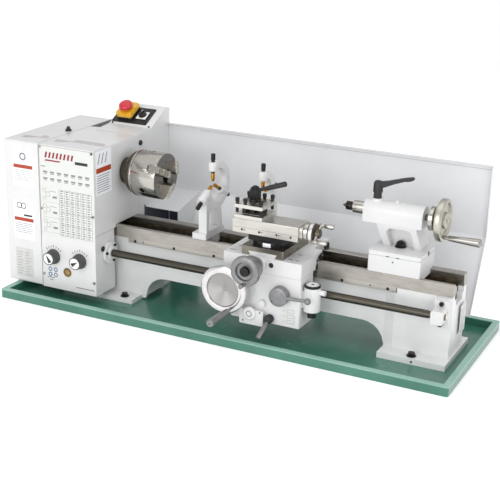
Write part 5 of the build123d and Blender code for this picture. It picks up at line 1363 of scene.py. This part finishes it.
def tailstock_details():
    plate_low, plate_high = span("tailstock_base")
    seam, plate = plate_high.z, plate_high.z + 11
    nut = bmesh.new()
    x = plate_low.x + 63
    turned(nut, [(-0.5, 14.5), (1.6, 14.5), (2.0, 13.8), (2.0, 0)], (x, 2, plate), UP, 40)
    turned(nut, [(1.8, 0), (1.8, 11.6), (11, 11.6), (12.2, 10.2), (12.2, 0)], (x, 2, plate), UP, 6)
    turned(nut, [(12, 6.0), (15, 6.0), (16, 5.2), (16, 0)], (x, 2, plate), UP, 32)
    finish(nut, "clamp_nut", "tailstock", BLACK, bevel=0.3)
    marks = bmesh.new()
    front = plate_low.y
    plate_front(marks, plate_low.x + 47, plate_low.x + 55, seam - 0.4, seam + 1.8, front, 0.15)
    plate_front(marks, plate_low.x + 73, plate_low.x + 81, seam - 0.8, seam + 1.4, front, 0.15)
    turned(marks, [(-0.4, 2.0), (0.15, 2.0), (0.15, 0)], (plate_low.x + 65, front, seam - 12), OUT, 20)
    finish(marks, "offset_marks", "tailstock", DARK_INK)
    # painted shade: a grey strip for the shadow in the seam between base and plate
    make("base_seam", "tailstock", SEAM_SHADE, block, plate_low.x + 0.8, plate_high.x + 0.08, front - 0.08,
        -front - 4, seam - 0.35, seam + 0.35)
    make("offset_screw", "tailstock", BLACK, turned, [
        (-1, 5.6), (0.3, 5.6), (0.3, 4.4), (0.0, 4.2), (0.0, 0),
    ], (plate_high.x, 5, plate - 6), RIGHT, 32)
    barrel = CENTRE + 27
    make("oil_cap", "tailstock", SCREW_GREY, turned, [(-1, 4.8), (2.0, 4.8), (3.6, 3.6), (4.0, 0)],
        (pivot("tailstock_lock_turn").x + 52, 0, barrel), UP, 32)


# --------------------------------------------------------------------------------------- staging
VIEW = (26.12, 18.85, 1.36)     # azimuth, elevation and roll in degrees
EYE = (1.26003, -2.48974, 1.14296)
LENS, FILM_WIDTH = 80.53, 36.0
FLOOR_RADIUS, FLOOR_GAP, FLOOR_GLOW = 30.0, 0.0005, 0.30
AIM = Vector((0, 0, 0.25))      # the point every lamp faces
LAMPS = (                       # name, place, watts, size
    ("key", (-0.3, -2.9, 1.3), 33, 2.0),
    ("right", (2.6, -1.0, 1.2), 17, 1.6),
    ("top", (0.1, -0.2, 2.8), 8, 2.0),
)
SKY = ((0.0, 1.0), (0.30, 0.95), (0.42, 0.42), (0.62, 0.42), (0.72, 0.9), (1.0, 0.92))


def camera():
    """The photograph's view: about 26 degrees round to the tailstock side and 19 degrees above."""
    azimuth, elevation, roll = (math.radians(angle) for angle in VIEW)
    look = Vector((-math.sin(azimuth) * math.cos(elevation), math.cos(azimuth) * math.cos(elevation),
        -math.sin(elevation)))
    right = Vector((math.cos(azimuth), math.sin(azimuth), 0))
    up = right.cross(look)
    right, up = right * math.cos(roll) + up * math.sin(roll), up * math.cos(roll) - right * math.sin(roll)
    data = bpy.data.cameras.new("camera")
    data.lens, data.sensor_width, data.clip_end = LENS, FILM_WIDTH, 100.0
    eye = bpy.data.objects.new("camera", data)
    bpy.context.scene.collection.objects.link(eye)
    turn = Matrix((right, up, -look)).transposed().to_4x4()
    eye.matrix_world = Matrix.Translation(EYE) @ turn
    bpy.context.scene.camera = eye


def floor():
    bm = bmesh.new()
    bmesh.ops.create_circle(bm, cap_ends=True, radius=FLOOR_RADIUS, segments=96)
    mesh = bpy.data.meshes.new("floor")
    bm.to_mesh(mesh)
    bm.free()
    s = Shader("floor_paper")
    cloud = s.ramp(s.noise(s.place(), 0.7), 0.3, 0.7)
    s.set(Base_Color=s.mix(cloud, (0.93, 0.93, 0.93, 1), (0.95, 0.95, 0.95, 1)), Roughness=0.9)
    s.set(Emission_Color=(1.0, 1.0, 1.0, 1.0), Emission_Strength=FLOOR_GLOW)
    mesh.materials.append(s.material)
    ground = bpy.data.objects.new("floor", mesh)
    ground.location.z = CAD_BOX[0][2] - FLOOR_GAP
    bpy.context.scene.collection.objects.link(ground)


def lights():
    world = bpy.data.worlds.new("studio")
    bpy.context.scene.world = world
    world.use_nodes = True
    tree = world.node_tree
    sky = tree.nodes["Background"]
    position = tree.nodes.new("ShaderNodeTexCoord").outputs["Generated"]
    height = tree.nodes.new("ShaderNodeSeparateXYZ")
    tree.links.new(position, height.inputs[0])
    ramp = tree.nodes.new("ShaderNodeValToRGB")
    tree.links.new(height.outputs["Z"], ramp.inputs[0])
    for index, (place, value) in enumerate(SKY):
        stop = ramp.color_ramp.elements[index] if index < 2 else ramp.color_ramp.elements.new(place)
        stop.position = place
        stop.color = (value, value, value * 1.01, 1)
    # the side towards +X is dimmer
    side = tree.nodes.new("ShaderNodeMapRange")
    for key, value in {"From Min": 0.1, "From Max": 1.0, "To Min": 1.0, "To Max": 0.88}.items():
        side.inputs[key].default_value = value
    tree.links.new(height.outputs["X"], side.inputs["Value"])
    tree.links.new(ramp.outputs[0], sky.inputs[0])
    tree.links.new(side.outputs[0], sky.inputs[1])
    for name, place, power, size in LAMPS:
        data = bpy.data.lights.new(name, "AREA")
        data.energy, data.size = power, size
        lamp = bpy.data.objects.new(name, data)
        lamp.location = place
        lamp.rotation_euler = (AIM - Vector(place)).to_track_quat("-Z", "Y").to_euler()
        bpy.context.scene.collection.objects.link(lamp)
    bpy.context.scene.view_settings.view_transform = "Standard"


dress_cad()
headstock_prints()
cover_labels()
right_face_details()
front_controls()
cover_thumb_knob()
control_details()
leadscrew_thread()
bed_details()
foot_web()
guard_details()
carriage_handwheel()
cross_handwheel()
apron_levers()
thread_dial_pieces()
carriage_details()
compound_crank_pieces()
compound_details()
clamp_lever()
post_screws()
rest_fingers()
lock_lever()
tailstock_handwheel()
tailstock_details()
camera()
floor()
lights()
